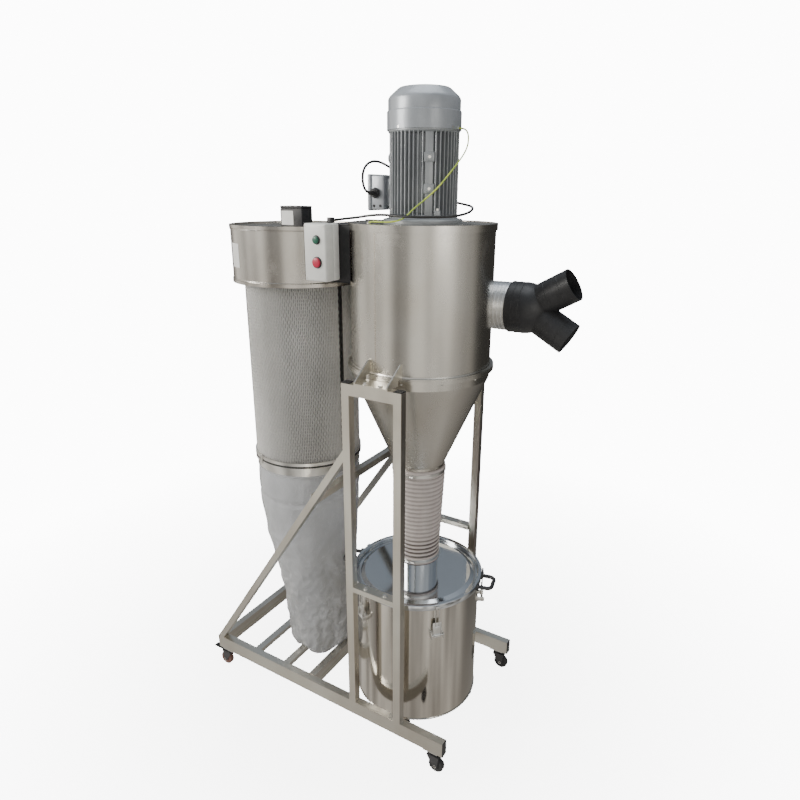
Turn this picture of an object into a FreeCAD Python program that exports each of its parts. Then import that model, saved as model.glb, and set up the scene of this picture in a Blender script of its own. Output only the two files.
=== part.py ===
"""Two-stage dust separator on a castered tube frame.

Air enters a forked inlet, spins in a steel cyclone above a barrel, and leaves through a duct into a
filter head, a pleated cartridge and a dust bag. A fan motor stands on the cyclone's lid.

Millimetres, +Z up. The origin is on the floor, in the middle of the plan: X runs along the frame,
from the filter to the inlet, and Y across it, away from the side with the switch box.
"""
import FreeCAD
import Part
import Sketcher
import math
import os
import re

from FreeCAD import Placement, Rotation, Vector

# The driving sizes: each name is an alias in the spreadsheet.
SIZES = {
    # frame of rectangular tube
    "rail_length": 1148, "frame_depth": 665, "rail_height": 60, "tube_width": 30, "tube_wall": 2,
    "rail_reach": 300, "middle_rail_reach": 346, "slat_height": 20,
    "slat_one_inset": 60, "slat_two_inset": 103.5,
    "post_top": 1472, "post_half_pitch": 102, "top_beam_height": 40,
    "mid_beam_top": 685, "mid_beam_height": 20, "mid_beam_depth": 37,
    "brace_top": 1229, "brace_bar_top": 1000, "cap_thickness": 3, "cap_plug": 12, "cap_play": 0.2,
    # casters under the frame
    "caster_wheel_gap": 10, "caster_plate_thickness": 4, "caster_plate_length": 60,
    "caster_wheel_radius": 30, "caster_wheel_width": 22, "caster_offset": 22, "caster_inset": 50,
    "pedal_reach": 90, "pedal_width": 20,
    "fork_cheek": 3, "fork_gap": 1.5, "fork_crown": 4, "swivel_height": 10, "swivel_radius": 14,
    "swivel_play": 0.3, "axle_radius": 4, "axle_play": 0.05, "axle_head": 3,
    # cyclone
    "cyclone_radius": 250, "sheet_wall": 2, "cyclone_top": 1970, "flange_rise": 16,
    "flange_height": 12, "flange_width": 14, "lid_rim_width": 5, "lid_rim_height": 16,
    "lid_thickness": 3, "cone_bottom": 1097, "outlet_radius": 98, "outlet_length": 55,
    "bracket_plate": 5, "bracket_height": 50, "bracket_width": 130, "bracket_gap": 2,
    "bracket_nose": 25,
    # hose between the cone and the barrel
    "hose_wall": 4, "hose_play": 0.3, "hose_overlap": 45, "hose_band_height": 12,
    "hose_band_thickness": 2, "hose_band_inset": 12,
    # barrel
    "barrel_radius": 250, "barrel_bottom": 72, "barrel_top": 596, "barrel_lid_top": 612,
    "barrel_lid_dish": 8, "clamp_ring_width": 13, "clamp_ring_height": 24,
    "spigot_height": 110, "spigot_radius": 82,
    "bottom_inset": 14, "barrel_caster_radius": 25, "barrel_caster_width": 20,
    "barrel_caster_inset": 30, "barrel_caster_angle": 20, "barrel_plate_side": 50,
    "barrel_plate_thickness": 3, "barrel_cheek": 3, "barrel_cheek_width": 24, "barrel_cheek_gap": 1,
    "barrel_cheek_drop": 6, "barrel_axle_radius": 4, "floor_play": 0.5,
    "handle_reach": 58, "handle_width": 96, "handle_bar": 16, "handle_angle": 12,
    "latch_angle": -44, "latch_width": 34, "latch_height": 62, "latch_thickness": 7,
    "latch_stand": 14, "latch_base_height": 20, "latch_pin_radius": 3, "latch_pin_play": 0.1,
    "latch_foot": 478, "latch_seat": 4, "latch_ear": 8, "latch_gap": 0.5, "latch_lift": 3,
    "latch_hook_drop": 4,
    # inlet
    "inlet_radius": 85, "inlet_height": 1690, "inlet_start_reach": 277, "inlet_overlap": 30,
    "cuff_wall": 4, "cuff_length": 52, "branch_angle": 30, "branch_radius": 57.5,
    "branch_wall": 4, "branch_length": 186, "inlet_play": 0.3,
    "inlet_lip": 3,
    # motor on the cyclone's lid
    "motor_flange_radius": 135, "motor_flange_height": 22, "motor_radius": 118,
    "motor_body_top": 2262, "cowl_radius": 121.5, "cowl_shoulder": 2354, "motor_top": 2390,
    "cowl_top_radius": 79, "terminal_width": 120, "terminal_reach": 186, "terminal_bottom": 2012,
    "terminal_height": 119, "terminal_depth": 66, "terminal_neck_width": 80,
    "terminal_neck_height": 90, "gland_radius": 18, "gland_length": 18, "gland_height": 2070,
    "gland_reach": 151,
    # filter
    "filter_inset": 304, "head_radius": 258, "head_bottom": 1747, "head_top": 1958,
    "head_rim": 3, "head_rim_height": 12, "head_lid_drop": 8, "cartridge_radius": 219,
    "cartridge_wall": 14, "cartridge_bottom": 1022, "ring_height": 26, "ring_width": 5,
    "band_height": 34, "band_inset": 4, "bag_gap": 0.3,
    "bag_shoulder_radius": 209, "bag_shoulder_height": 790,
    "bag_waist_radius": 186, "bag_waist_height": 560, "bag_waist_shift": 16,
    "bag_belly_radius": 164, "bag_belly_height": 330, "bag_belly_shift": 50, "bag_belly_near": 10,
    "bag_foot_radius": 158, "bag_foot_shift": 74, "bag_foot_near": 42,
    "duct_half_width": 190, "duct_bottom": 1780, "duct_height": 190, "duct_wall": 3,
    "duct_gap": 0.3,
    # switch box on the duct and control box on the filter head
    "switch_width": 92, "switch_depth": 76, "switch_height": 188, "switch_bottom": 1787,
    "switch_reach": 212, "button_radius": 12, "stop_radius": 16, "button_play": 0.4,
    "button_stem": 14, "button_stand": 9, "button_side": 22, "button_pitch": 73,
    "button_rise": 63, "entry_side": 18, "entry_depth": 22, "entry_inset": 26,
    "control_length": 100, "control_width": 60, "control_height": 75,
    "control_shift": 74, "control_near": 70,
    # cables
    "power_diameter": 8.5, "earth_diameter": 5,
}

DOC = FreeCAD.newDocument("dust_separator")
SHEET = DOC.addObject("Spreadsheet::Sheet", "Sizes")
NODES = {}


def fill_sheet():
    """Writes every driving size, and the places worked out from them, into the spreadsheet."""
    along = "branch_length * cos(branch_angle * 1deg)"
    across = "branch_radius * sin(branch_angle * 1deg)"
    places = {
        "inlet_tip": f"inlet_start_reach + cuff_length + {along} + {across}",
        "left_reach": "rail_length - rail_reach",
        "filter_pitch": "left_reach - filter_inset",
        "flange_top": "post_top + flange_rise",
        "wheel_top": "2 * caster_wheel_radius + caster_wheel_gap",
        "caster_height": "wheel_top + fork_crown + swivel_height + caster_plate_thickness",
        "cyclone_x": "(left_reach + pedal_reach - caster_inset - inlet_tip) / 2",
        "frame_left": "cyclone_x - left_reach",
        "frame_right": "cyclone_x + rail_reach",
        "filter_x": "cyclone_x - filter_pitch",
        "near_side": "-frame_depth / 2",
        "far_inner": "frame_depth / 2 - tube_width",
        "rail_bottom": "caster_height",
        "rail_top": "rail_bottom + rail_height",
    }
    for row, (alias, value) in enumerate(SIZES.items(), 1):
        SHEET.set(f"A{row}", alias)
        SHEET.set(f"B{row}", str(value))
        SHEET.setAlias(f"B{row}", alias)
    for row, (alias, formula) in enumerate(places.items(), 1):
        SHEET.set(f"C{row}", alias)
        SHEET.set(f"D{row}", "=" + formula)
        SHEET.setAlias(f"D{row}", alias)
    DOC.recompute()
    return set(SIZES) | set(places)


ALIASES = fill_sheet()


def bound(text):
    """The expression text with each size's name read from the spreadsheet."""
    return re.sub(r"[a-z]\w*", lambda word: ("Sizes." if word[0] in ALIASES else "") + word[0], str(text))


def number(text):
    """What an expression text comes to now, in millimetres."""
    value = SHEET.evalExpression(bound(text))
    return float(getattr(value, "Value", value))


def bind(thing, **texts):
    """Ties properties to expressions; a double underscore in a name stands for a dot."""
    for name, text in texts.items():
        thing.setExpression(name.replace("__", "."), bound(text))


def keep(node, thing):
    """Names an object as one of the assembly's pieces."""
    thing.Label = node
    NODES[node] = thing
    return thing


def place(thing, x, y, z):
    """Ties an object's place to expressions."""
    bind(thing, Placement__Base__x=x, Placement__Base__y=y, Placement__Base__z=z)
    return thing


def block(x, y, z, length, width, height):
    """A box from its lowest corner and its sizes."""
    box = DOC.addObject("Part::Box", "Block")
    bind(box, Length=length, Width=width, Height=height)
    return place(box, x, y, z)


def rod(x, y, z, radius, length, direction=(0, 0, 1)):
    """A cylinder from the centre of its foot, along a direction."""
    cylinder = DOC.addObject("Part::Cylinder", "Rod")
    cylinder.Placement = Placement(Vector(), Rotation(Vector(0, 0, 1), Vector(*direction)))
    bind(cylinder, Radius=radius, Height=length)
    return place(cylinder, x, y, z)


def cut(base, tool):
    """One object less another."""
    result = DOC.addObject("Part::Cut", "Trimmed")
    result.Base = base
    result.Tool = tool
    return result


def fuse(*things):
    """Several objects joined into one solid."""
    result = DOC.addObject("Part::MultiFuse", "Joined")
    result.Shapes = list(things)
    return result


def gather(*things):
    """Like pieces that don't touch, kept as one object."""
    result = DOC.addObject("Part::Compound", "Set")
    result.Links = list(things)
    return result


def plane_of(body, role):
    """One of a body's own origin planes."""
    return next(plane for plane in body.Origin.OriginFeatures if plane.Role == role)


def outline(body, role, points):
    """A closed sketch of straight lines whose corners are tied to expressions."""
    sketch = body.newObject("Sketcher::SketchObject", "Outline")
    sketch.AttachmentSupport = [(plane_of(body, role), "")]
    sketch.MapMode = "FlatFace"
    corners = [Vector(number(across), number(up), 0) for across, up in points]
    count = len(corners)
    for index in range(count):
        sketch.addGeometry(Part.LineSegment(corners[index], corners[(index + 1) % count]), False)
    for index in range(count):
        sketch.addConstraint(Sketcher.Constraint("Coincident", index, 2, (index + 1) % count, 1))
    for index, texts in enumerate(points):
        for kind, axis, text, value in zip(("DistanceX", "DistanceY"), (-2, -1), texts, corners[index]):
            if str(text) == "0":
                sketch.addConstraint(Sketcher.Constraint("PointOnObject", index, 1, axis))
                continue
            place_of = sketch.addConstraint(Sketcher.Constraint(kind, -1, 1, index, 1, value))
            sketch.setExpression(f"Constraints[{place_of}]", bound(text))
    return sketch


def turned(points, x, y, z="0"):
    """A body turned about its own vertical axis from an outline of radii and heights."""
    body = DOC.addObject("PartDesign::Body", "Turned")
    sketch = outline(body, "XZ_Plane", points)
    revolution = body.newObject("PartDesign::Revolution", "Turn")
    revolution.Profile = sketch
    revolution.ReferenceAxis = (sketch, ["V_Axis"])
    revolution.Angle = 360
    return place(body, x, y, z)


def prism(points, role, depth, x, y, z):
    """A body padded from an outline: across Y from XZ_Plane, across X from YZ_Plane, up from XY_Plane."""
    body = DOC.addObject("PartDesign::Body", "Padded")
    pad = body.newObject("PartDesign::Pad", "Pad")
    pad.Profile = outline(body, role, points)
    pad.Reversed = role == "XZ_Plane"
    bind(pad, Length=depth)
    return place(body, x, y, z)


def shell(radius, wall, bottom, top, x, y):
    """A plain round sheet wall."""
    inner = f"{radius} - {wall}"
    return turned([(inner, bottom), (radius, bottom), (radius, top), (inner, top)], x, y)


def hollow(x, y, z, length, width, height, along):
    """A length of rectangular tube, open at both ends, along one axis."""
    outer = block(x, y, z, length, width, height)
    shift = {axis: "0" if axis == along else "tube_wall" for axis in "xyz"}
    bore = block(
        f"{x} + {shift['x']}", f"{y} + {shift['y']}", f"{z} + {shift['z']}",
        f"{length} - 2 * {shift['x']}", f"{width} - 2 * {shift['y']}", f"{height} - 2 * {shift['z']}",
    )
    return cut(outer, bore)


# --- frame -----------------------------------------------------------------------------------------

POST_LEFT = {
    "left": "cyclone_x - post_half_pitch - tube_width / 2",
    "right": "cyclone_x + post_half_pitch - tube_width / 2",
}
SIDES = {"near": "near_side", "far": "far_inner"}


def make_rails():
    """The four base rails and the two slats that carry the bag."""
    for side, y in SIDES.items():
        rail = hollow("frame_left", y, "rail_bottom", "rail_length", "tube_width", "rail_height", "x")
        keep(f"base_rail_{side}", rail)
    inside = "frame_depth - 2 * tube_width"
    start = "near_side + tube_width"
    middle = "cyclone_x - middle_rail_reach"
    for hand, x in (("left", "frame_left"), ("middle", middle)):
        rail = hollow(x, start, "rail_bottom", "tube_width", inside, "rail_height", "y")
        keep(f"base_rail_{hand}", rail)
    slat_foot = "rail_top - slat_height"
    slats = [
        hollow(f"cyclone_x - ({reach})", start, slat_foot, "tube_width", inside, "slat_height", "y")
        for reach in ("filter_pitch - slat_one_inset", "filter_pitch + slat_two_inset")
    ]
    keep("bag_slats", gather(*slats))


def make_posts():
    """Four posts and the beams between each near or far pair."""
    for side, y in SIDES.items():
        for hand, x in POST_LEFT.items():
            post = hollow(x, y, "rail_top", "tube_width", "tube_width", "post_top - rail_top", "z")
            keep(f"post_{side}_{hand}", post)
    between = f"{POST_LEFT['left']} + tube_width"
    span = "2 * post_half_pitch - tube_width"
    tops = [
        hollow(between, y, "post_top - top_beam_height", span, "tube_width", "top_beam_height", "x")
        for y in SIDES.values()
    ]
    keep("top_beams", gather(*tops))
    middles = [
        hollow(between, y, "mid_beam_top - mid_beam_height", span, "mid_beam_depth", "mid_beam_height", "x")
        for y in ("near_side", "frame_depth / 2 - mid_beam_depth")
    ]
    keep("mid_beams", gather(*middles))


def make_braces():
    """Two sloping braces from the left corners up to the posts, and the bar between them."""
    run = f"({POST_LEFT['left']} - frame_left)"
    rise = "(brace_top - rail_top)"
    slope = f"(({rise} - tube_width) / ({run} - tube_width))"
    points = [("0", "0"), ("tube_width", "0"), (run, f"{rise} - tube_width * {slope}"), (run, rise)]
    braces = [prism(points, "XZ_Plane", "tube_width", "frame_left", y, "rail_top") for y in SIDES.values()]
    keep("braces", gather(*braces))
    bar_x = f"frame_left + (brace_bar_top - rail_top - tube_width) * {run} / {rise}"
    start = "near_side + tube_width"
    inside = "frame_depth - 2 * tube_width"
    bar = hollow(bar_x, start, "brace_bar_top - tube_width", "tube_width", inside, "tube_width", "y")
    keep("brace_bar", bar)


def make_end_caps():
    """Plastic caps in the open ends of the rails and posts."""
    caps = []
    inner_width = "tube_width - 2 * tube_wall - 2 * cap_play"
    inner_height = "rail_height - 2 * tube_wall - 2 * cap_play"
    edge = "tube_wall + cap_play"
    rail_ends = (
        ("frame_right", "frame_right - cap_plug"),
        ("frame_left - cap_thickness", "frame_left"),
    )
    for y in SIDES.values():
        for face, plug in rail_ends:
            plate = block(face, y, "rail_bottom", "cap_thickness", "tube_width", "rail_height")
            stub = block(
                plug, f"{y} + {edge}", f"rail_bottom + {edge}", "cap_plug", inner_width, inner_height,
            )
            caps.append(fuse(plate, stub))
        for x in POST_LEFT.values():
            plate = block(x, y, "post_top", "tube_width", "tube_width", "cap_thickness")
            stub = block(
                f"{x} + {edge}", f"{y} + {edge}", "post_top - cap_plug",
                inner_width, inner_width, "cap_plug",
            )
            caps.append(fuse(plate, stub))
    keep("end_caps", gather(*caps))


# --- casters ---------------------------------------------------------------------------------------

ENDS = {"left": ("frame_left + caster_inset", "-"), "right": ("frame_right - caster_inset", "+")}
CASTERS = {
    f"{side}_{end}": (x, f"{y} + tube_width / 2", outward)
    for side, y in SIDES.items()
    for end, (x, outward) in ENDS.items()
}


def make_casters():
    """Four swivel casters: a fixed plate, a fork that swivels and a wheel on its axle."""
    plates = []
    inner = "(caster_wheel_width / 2 + fork_gap)"
    outer = "(caster_wheel_width / 2 + fork_gap + fork_cheek)"
    crown_top = "rail_bottom - caster_plate_thickness - swivel_height"
    for name, (x, y, outward) in CASTERS.items():
        plate = block(
            f"{x} - caster_plate_length / 2", f"{y} - tube_width / 2",
            "rail_bottom - caster_plate_thickness",
            "caster_plate_length", "tube_width", "caster_plate_thickness",
        )
        king_pin = rod(x, y, f"{crown_top} + swivel_play", "axle_radius", "swivel_height")
        plates.append(fuse(plate, king_pin))
        axle_x = f"{x} {outward} caster_offset"
        low_end = "caster_offset + swivel_radius" if outward == "-" else "swivel_radius"
        crown = block(
            f"{x} - ({low_end})", f"{y} - {outer}", f"{crown_top} - fork_crown",
            "caster_offset + 2 * swivel_radius", f"2 * {outer}", "fork_crown",
        )
        raceway = rod(x, y, crown_top, "swivel_radius", "swivel_height - swivel_play")
        bore = rod(x, y, crown_top, "axle_radius + swivel_play", "swivel_height")
        drop = f"({crown_top} - fork_crown)"
        hub_low = "caster_wheel_radius - 2 * axle_radius"
        cheek_points = [
            (f"0 {outward} (caster_offset + swivel_radius)", drop),
            (f"0 {outward} (caster_offset + 2 * axle_radius)", hub_low),
            (f"0 {outward} (caster_offset - 2 * axle_radius)", hub_low),
            (f"0 - (0 {outward} swivel_radius)", drop),
        ]
        cheeks = [
            prism(cheek_points, "XZ_Plane", "fork_cheek", x, f"{y} {shift}", "0")
            for shift in (f"- {outer}", f"+ {inner}")
        ]
        axle = rod(
            axle_x, f"{y} - {outer} - axle_head", "caster_wheel_radius", "axle_radius",
            f"2 * ({outer} + axle_head)", (0, 1, 0),
        )
        pieces = [cut(fuse(crown, raceway), bore), *cheeks, axle]
        if outward == "-":
            pieces.append(block(
                f"{x} - pedal_reach", f"{y} - pedal_width / 2", f"{crown_top} - fork_crown",
                "pedal_reach - caster_offset", "pedal_width", "fork_crown",
            ))
        keep(f"caster_fork_{name}", fuse(*pieces))
        wheel_y = f"{y} - caster_wheel_width / 2"
        tread, hub = (
            rod(axle_x, wheel_y, "caster_wheel_radius", radius, "caster_wheel_width", (0, 1, 0))
            for radius in ("caster_wheel_radius", "axle_radius + axle_play")
        )
        keep(f"caster_wheel_{name}", cut(tread, hub))
    keep("caster_plates", gather(*plates))


# --- cyclone ---------------------------------------------------------------------------------------


def make_cyclone():
    """The cylinder with its inlet hole, the lid, the flange, the cone and the brackets."""
    wall = shell("cyclone_radius", "sheet_wall", "flange_top", "cyclone_top", "cyclone_x", "0")
    hole = rod(
        "cyclone_x", "cyclone_radius - inlet_radius", "inlet_height", "inlet_radius - inlet_lip",
        "cyclone_radius * 2", (1, 0, 0),
    )
    keep("cyclone_cylinder", cut(wall, hole))
    rim = "cyclone_radius + lid_rim_width"
    keep("cyclone_lid", turned([
        ("0", "cyclone_top"), ("cyclone_radius", "cyclone_top"),
        ("cyclone_radius", "cyclone_top - lid_rim_height"),
        (rim, "cyclone_top - lid_rim_height"), (rim, "cyclone_top + lid_thickness * 2"),
        ("cyclone_radius - lid_rim_width", "cyclone_top + lid_thickness * 2"),
        ("cyclone_radius - lid_rim_width", "cyclone_top + lid_thickness"),
        ("0", "cyclone_top + lid_thickness"),
    ], "cyclone_x", "0"))
    edge = "cyclone_radius + flange_width"
    inner = "cyclone_radius - sheet_wall"
    keep("cyclone_flange", turned([
        (inner, "flange_top - flange_height"), (edge, "flange_top - flange_height"),
        (edge, "flange_top"), (inner, "flange_top"),
    ], "cyclone_x", "0"))
    skirt = "flange_top - flange_height - flange_width * 2"
    low = "cone_bottom - outlet_length"
    keep("cyclone_cone", turned([
        (inner, "flange_top - flange_height"), (inner, skirt), ("outlet_radius - sheet_wall", "cone_bottom"),
        ("outlet_radius - sheet_wall", low), ("outlet_radius", low), ("outlet_radius", "cone_bottom"),
        ("cyclone_radius", skirt), ("cyclone_radius", "flange_top - flange_height"),
    ], "cyclone_x", "0"))


def make_brackets():
    """A plate with two gussets on each top beam, holding the cyclone's wall."""
    depth = "frame_depth / 2 - cyclone_radius - flange_width - bracket_gap"
    wall_tool = {
        side: rod("cyclone_x", "0", "post_top", "cyclone_radius", "bracket_height * 3") for side in SIDES
    }
    brackets = []
    foot = "flange_top - post_top + bracket_gap"
    top = f"{foot} + bracket_height"
    for side, sign in (("near", "-"), ("far", "+")):
        base_y = "near_side" if side == "near" else f"frame_depth / 2 - ({depth})"
        base = block(
            "cyclone_x - bracket_width / 2", base_y, "post_top", "bracket_width", depth, "bracket_plate",
        )
        edge = f"0 {sign} frame_depth / 2"
        points = [
            (edge, "0"), (f"0 {sign} (frame_depth / 2 - ({depth}))", "0"),
            (f"0 {sign} (frame_depth / 2 - ({depth}))", foot),
            (f"0 {sign} (cyclone_radius - bracket_nose)", foot),
            (f"0 {sign} (cyclone_radius - bracket_nose)", top),
            (f"0 {sign} cyclone_radius", top), (edge, "bracket_plate * 2"),
        ]
        gussets = [
            cut(prism(points, "YZ_Plane", "bracket_plate", x, "0", "post_top"), wall_tool[side])
            for x in ("cyclone_x - bracket_width / 2", "cyclone_x + bracket_width / 2 - bracket_plate")
        ]
        brackets.append(fuse(base, *gussets))
    keep("cyclone_brackets", gather(*brackets))


def make_hose():
    """The ribbed hose from the cone's outlet to the barrel's spigot, and its two clamp bands."""
    wide = "outlet_radius + hose_play"
    narrow = "spigot_radius + hose_play"
    low = "barrel_lid_top + spigot_height - hose_overlap"
    low_end = "barrel_lid_top + spigot_height"
    high_end = "cone_bottom - outlet_length"
    high = f"{high_end} + hose_overlap"
    keep("dust_hose", turned([
        (narrow, low), (f"{narrow} + hose_wall", low), (f"{narrow} + hose_wall", low_end),
        (f"{wide} + hose_wall", high_end), (f"{wide} + hose_wall", high), (wide, high),
        (wide, high_end), (narrow, low_end),
    ], "cyclone_x", "0"))
    grip = "hose_wall + hose_play + hose_band_thickness"
    seats = ((narrow, f"{low} + hose_band_inset"), (wide, f"{high} - hose_band_inset - hose_band_height"))
    bands = [
        shell(f"{inner} + {grip}", "hose_band_thickness", z, f"{z} + hose_band_height", "cyclone_x", "0")
        for inner, z in seats
    ]
    keep("hose_bands", gather(*bands))


# --- barrel ----------------------------------------------------------------------------------------


def make_barrel():
    """The barrel's wall and bottom, its dished lid with a spigot, and the clamp ring."""
    keep("barrel_body", shell(
        "barrel_radius", "sheet_wall", "barrel_bottom", "barrel_top", "cyclone_x", "0",
    ))
    inner = "barrel_radius - sheet_wall"
    keep("barrel_floor", turned([
        ("0", "barrel_bottom + bottom_inset"), (inner, "barrel_bottom + bottom_inset"),
        (inner, "barrel_bottom + bottom_inset + sheet_wall"),
        ("0", "barrel_bottom + bottom_inset + sheet_wall"),
    ], "cyclone_x", "0"))
    spigot_in = "spigot_radius - sheet_wall"
    top = "barrel_lid_top"
    keep("barrel_lid", turned([
        (spigot_in, f"{top} - sheet_wall"), ("barrel_radius * 0.86", f"{top} - sheet_wall"),
        ("barrel_radius * 0.93", f"{top} - sheet_wall - barrel_lid_dish"),
        ("barrel_radius", f"{top} - sheet_wall - barrel_lid_dish"),
        ("barrel_radius", f"{top} - barrel_lid_dish"),
        ("barrel_radius * 0.93 - sheet_wall / 2", f"{top} - barrel_lid_dish"),
        ("barrel_radius * 0.86", top), ("spigot_radius", top),
        ("spigot_radius", f"{top} + spigot_height"), (spigot_in, f"{top} + spigot_height"),
    ], "cyclone_x", "0"))
    edge = "barrel_radius + clamp_ring_width"
    low = "barrel_top"
    high = "barrel_top + clamp_ring_height"
    grip_low = "barrel_lid_top - barrel_lid_dish - sheet_wall"
    grip_high = "barrel_lid_top - barrel_lid_dish"
    keep("clamp_ring", turned([
        ("barrel_radius - sheet_wall", low), (edge, low), (edge, high),
        ("barrel_radius - sheet_wall * 2", high), ("barrel_radius - sheet_wall * 2", grip_high),
        ("barrel_radius", grip_high), ("barrel_radius", grip_low),
        ("barrel_radius - sheet_wall", grip_low),
    ], "cyclone_x", "0"))


def around(thing, angle):
    """A copy of a piece made at the barrel's +X side, turned about the barrel's axis by degrees."""
    copy = DOC.addObject("Part::Compound", "Around")
    copy.Links = [thing]
    copy.Placement = Placement(Vector(), Rotation(Vector(0, 0, 1), 1))
    turn = f"({angle}) * 1deg"
    bind(copy, Placement__Rotation__Angle=turn)
    return place(copy, f"cyclone_x * (1 - cos({turn}))", f"-cyclone_x * sin({turn})", "0")


LATCH_COUNT = 5


def make_latches():
    """Five toggle latches round the barrel: a base, a keeper on the ring and a lever on a pin."""
    wall = "cyclone_x + barrel_radius"
    face = f"{wall} + latch_stand"
    reach = "latch_stand + latch_thickness + 2 * latch_pin_radius"
    left = "0 - latch_width / 2"
    base_left = f"{left} - latch_ear"
    base_width = "latch_width + 2 * latch_ear"
    pin_x = f"{face} + latch_thickness / 2"
    pin_z = "latch_foot + latch_base_height / 2"
    channel = block(
        f"{wall} + 1", f"{left} - latch_gap", "latch_foot - 1",
        reach, "latch_width + 2 * latch_gap", "latch_base_height + 2",
    )
    base = block(
        f"{wall} - latch_seat", base_left, "latch_foot",
        f"latch_seat + {reach}", base_width, "latch_base_height",
    )
    pin = rod(pin_x, base_left, pin_z, "latch_pin_radius", base_width, (0, 1, 0))
    drum = rod("cyclone_x", "0", "0", "barrel_radius", "barrel_top * 2")
    foot = cut(fuse(cut(base, channel), pin), drum)
    lever_top = "latch_foot + latch_height"
    lever = block(face, left, "latch_foot + latch_lift", "latch_thickness", "latch_width", "latch_height")
    hook_top = "barrel_top + clamp_ring_height - latch_hook_drop"
    hook = block(
        face, f"{left} + latch_width / 4", lever_top,
        "latch_thickness", "latch_width / 2", f"{hook_top} - ({lever_top})",
    )
    bore = rod(pin_x, base_left, pin_z, "latch_pin_radius + latch_pin_play", base_width, (0, 1, 0))
    arm = cut(fuse(lever, hook), bore)
    bases = []
    for index in range(LATCH_COUNT):
        angle = f"latch_angle + {index * 360 / LATCH_COUNT}"
        bases.append(around(foot, angle))
        keep(f"latch_lever_{index + 1}", around(arm, angle))
    keep("latch_bases", gather(*bases))


def make_handles():
    """Two bent-bar handles on the clamp ring."""
    wall = "cyclone_x + barrel_radius + clamp_ring_width"
    z = "barrel_top + clamp_ring_height / 2 - handle_bar / 2"
    outer = block(
        f"{wall} - handle_bar", "0 - handle_width / 2", z,
        "handle_reach + handle_bar", "handle_width", "handle_bar",
    )
    inner = block(
        f"{wall} - handle_bar * 2", "handle_bar - handle_width / 2", f"{z} - 1",
        "handle_reach + handle_bar", "handle_width - 2 * handle_bar", "handle_bar + 2",
    )
    drum = rod("cyclone_x", "0", "0", "barrel_radius + clamp_ring_width", "barrel_top * 2")
    loop = cut(cut(outer, inner), drum)
    keep("barrel_handles", gather(around(loop, "handle_angle"), around(loop, "handle_angle + 180")))


def make_barrel_casters():
    """Four small casters under the barrel's floor."""
    x = "cyclone_x + barrel_radius - barrel_caster_inset"
    floor = "barrel_bottom + bottom_inset"
    half = "barrel_caster_width / 2"
    cheek_low = "barrel_caster_radius - barrel_cheek_drop"
    plate_low = f"{floor} - barrel_plate_thickness"
    wheel = rod(
        x, f"0 - {half}", "barrel_caster_radius", "barrel_caster_radius", "barrel_caster_width", (0, 1, 0),
    )
    plate = block(
        f"{x} - barrel_plate_side / 2", "0 - barrel_plate_side / 2", plate_low,
        "barrel_plate_side", "barrel_plate_side", "barrel_plate_thickness",
    )
    cheeks = [
        block(
            f"{x} - barrel_cheek_width / 2", f"0 {shift}", cheek_low,
            "barrel_cheek_width", "barrel_cheek", f"{plate_low} - ({cheek_low})",
        )
        for shift in (f"- {half} - barrel_cheek_gap - barrel_cheek", f"+ {half} + barrel_cheek_gap")
    ]
    outside = "barrel_cheek_gap + barrel_cheek"
    axle = rod(
        x, f"0 - {half} - {outside}", "barrel_caster_radius", "barrel_axle_radius",
        f"barrel_caster_width + 2 * ({outside})", (0, 1, 0),
    )
    trimmed = DOC.addObject("Part::Common", "Trimmed")
    trimmed.Base = plate
    trimmed.Tool = rod("cyclone_x", "0", "0", "barrel_radius - sheet_wall - floor_play", "barrel_bottom * 2")
    caster = fuse(wheel, trimmed, *cheeks, axle)
    copies = [around(caster, f"barrel_caster_angle + {index * 90}") for index in range(4)]
    keep("barrel_casters", gather(*copies))


# --- inlet -----------------------------------------------------------------------------------------


def branch(radius, length, sign, start_x):
    """A straight piece of one inlet branch, tilted up or down from the end of the cuff."""
    piece = rod(start_x, "cyclone_radius - inlet_radius", "inlet_height", radius, length, (1, 0, 0))
    bind(piece, Placement__Rotation__Angle=f"(90 - {sign} * branch_angle) * 1deg")
    return piece


def dome(radius, x, y, z):
    """Half a ball whose round side points along X."""
    half = DOC.addObject("Part::Sphere", "Dome")
    half.Angle1 = 0
    half.Placement = Placement(Vector(), Rotation(Vector(0, 0, 1), Vector(1, 0, 0)))
    bind(half, Radius=radius)
    return place(half, x, y, z)


def make_inlet():
    """The tangential inlet tube and the forked fitting on its end."""
    y = "cyclone_radius - inlet_radius"
    start = "cyclone_x + inlet_start_reach"
    tube = cut(*(
        rod("cyclone_x", y, "inlet_height", radius, "inlet_start_reach + inlet_overlap", (1, 0, 0))
        for radius in ("inlet_radius", "inlet_radius - sheet_wall")
    ))
    cyclone = rod("cyclone_x", "0", "flange_top", "cyclone_radius", "cyclone_top - flange_top")
    keep("inlet_tube", cut(tube, cyclone))
    cuff_in = "inlet_radius + inlet_play"
    cuff_end = f"{start} + cuff_length"
    outside = [
        rod(start, y, "inlet_height", f"{cuff_in} + cuff_wall", "cuff_length", (1, 0, 0)),
        branch("branch_radius", "branch_length", 1, cuff_end),
        branch("branch_radius", "branch_length", -1, cuff_end),
    ]
    throat = dome(f"{cuff_in} + cuff_wall", cuff_end, y, "inlet_height")
    inside = [
        rod(start, y, "inlet_height", cuff_in, "inlet_overlap + inlet_play", (1, 0, 0)),
        rod(start, y, "inlet_height", "inlet_radius - cuff_wall", "cuff_length", (1, 0, 0)),
        branch("branch_radius - branch_wall", "branch_length + 1", 1, cuff_end),
        branch("branch_radius - branch_wall", "branch_length + 1", -1, cuff_end),
    ]
    hollow_throat = dome("inlet_radius - cuff_wall", cuff_end, y, "inlet_height")
    keep("inlet_fork", cut(fuse(*outside, throat), fuse(*inside, hollow_throat)))


# --- motor -----------------------------------------------------------------------------------------


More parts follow.
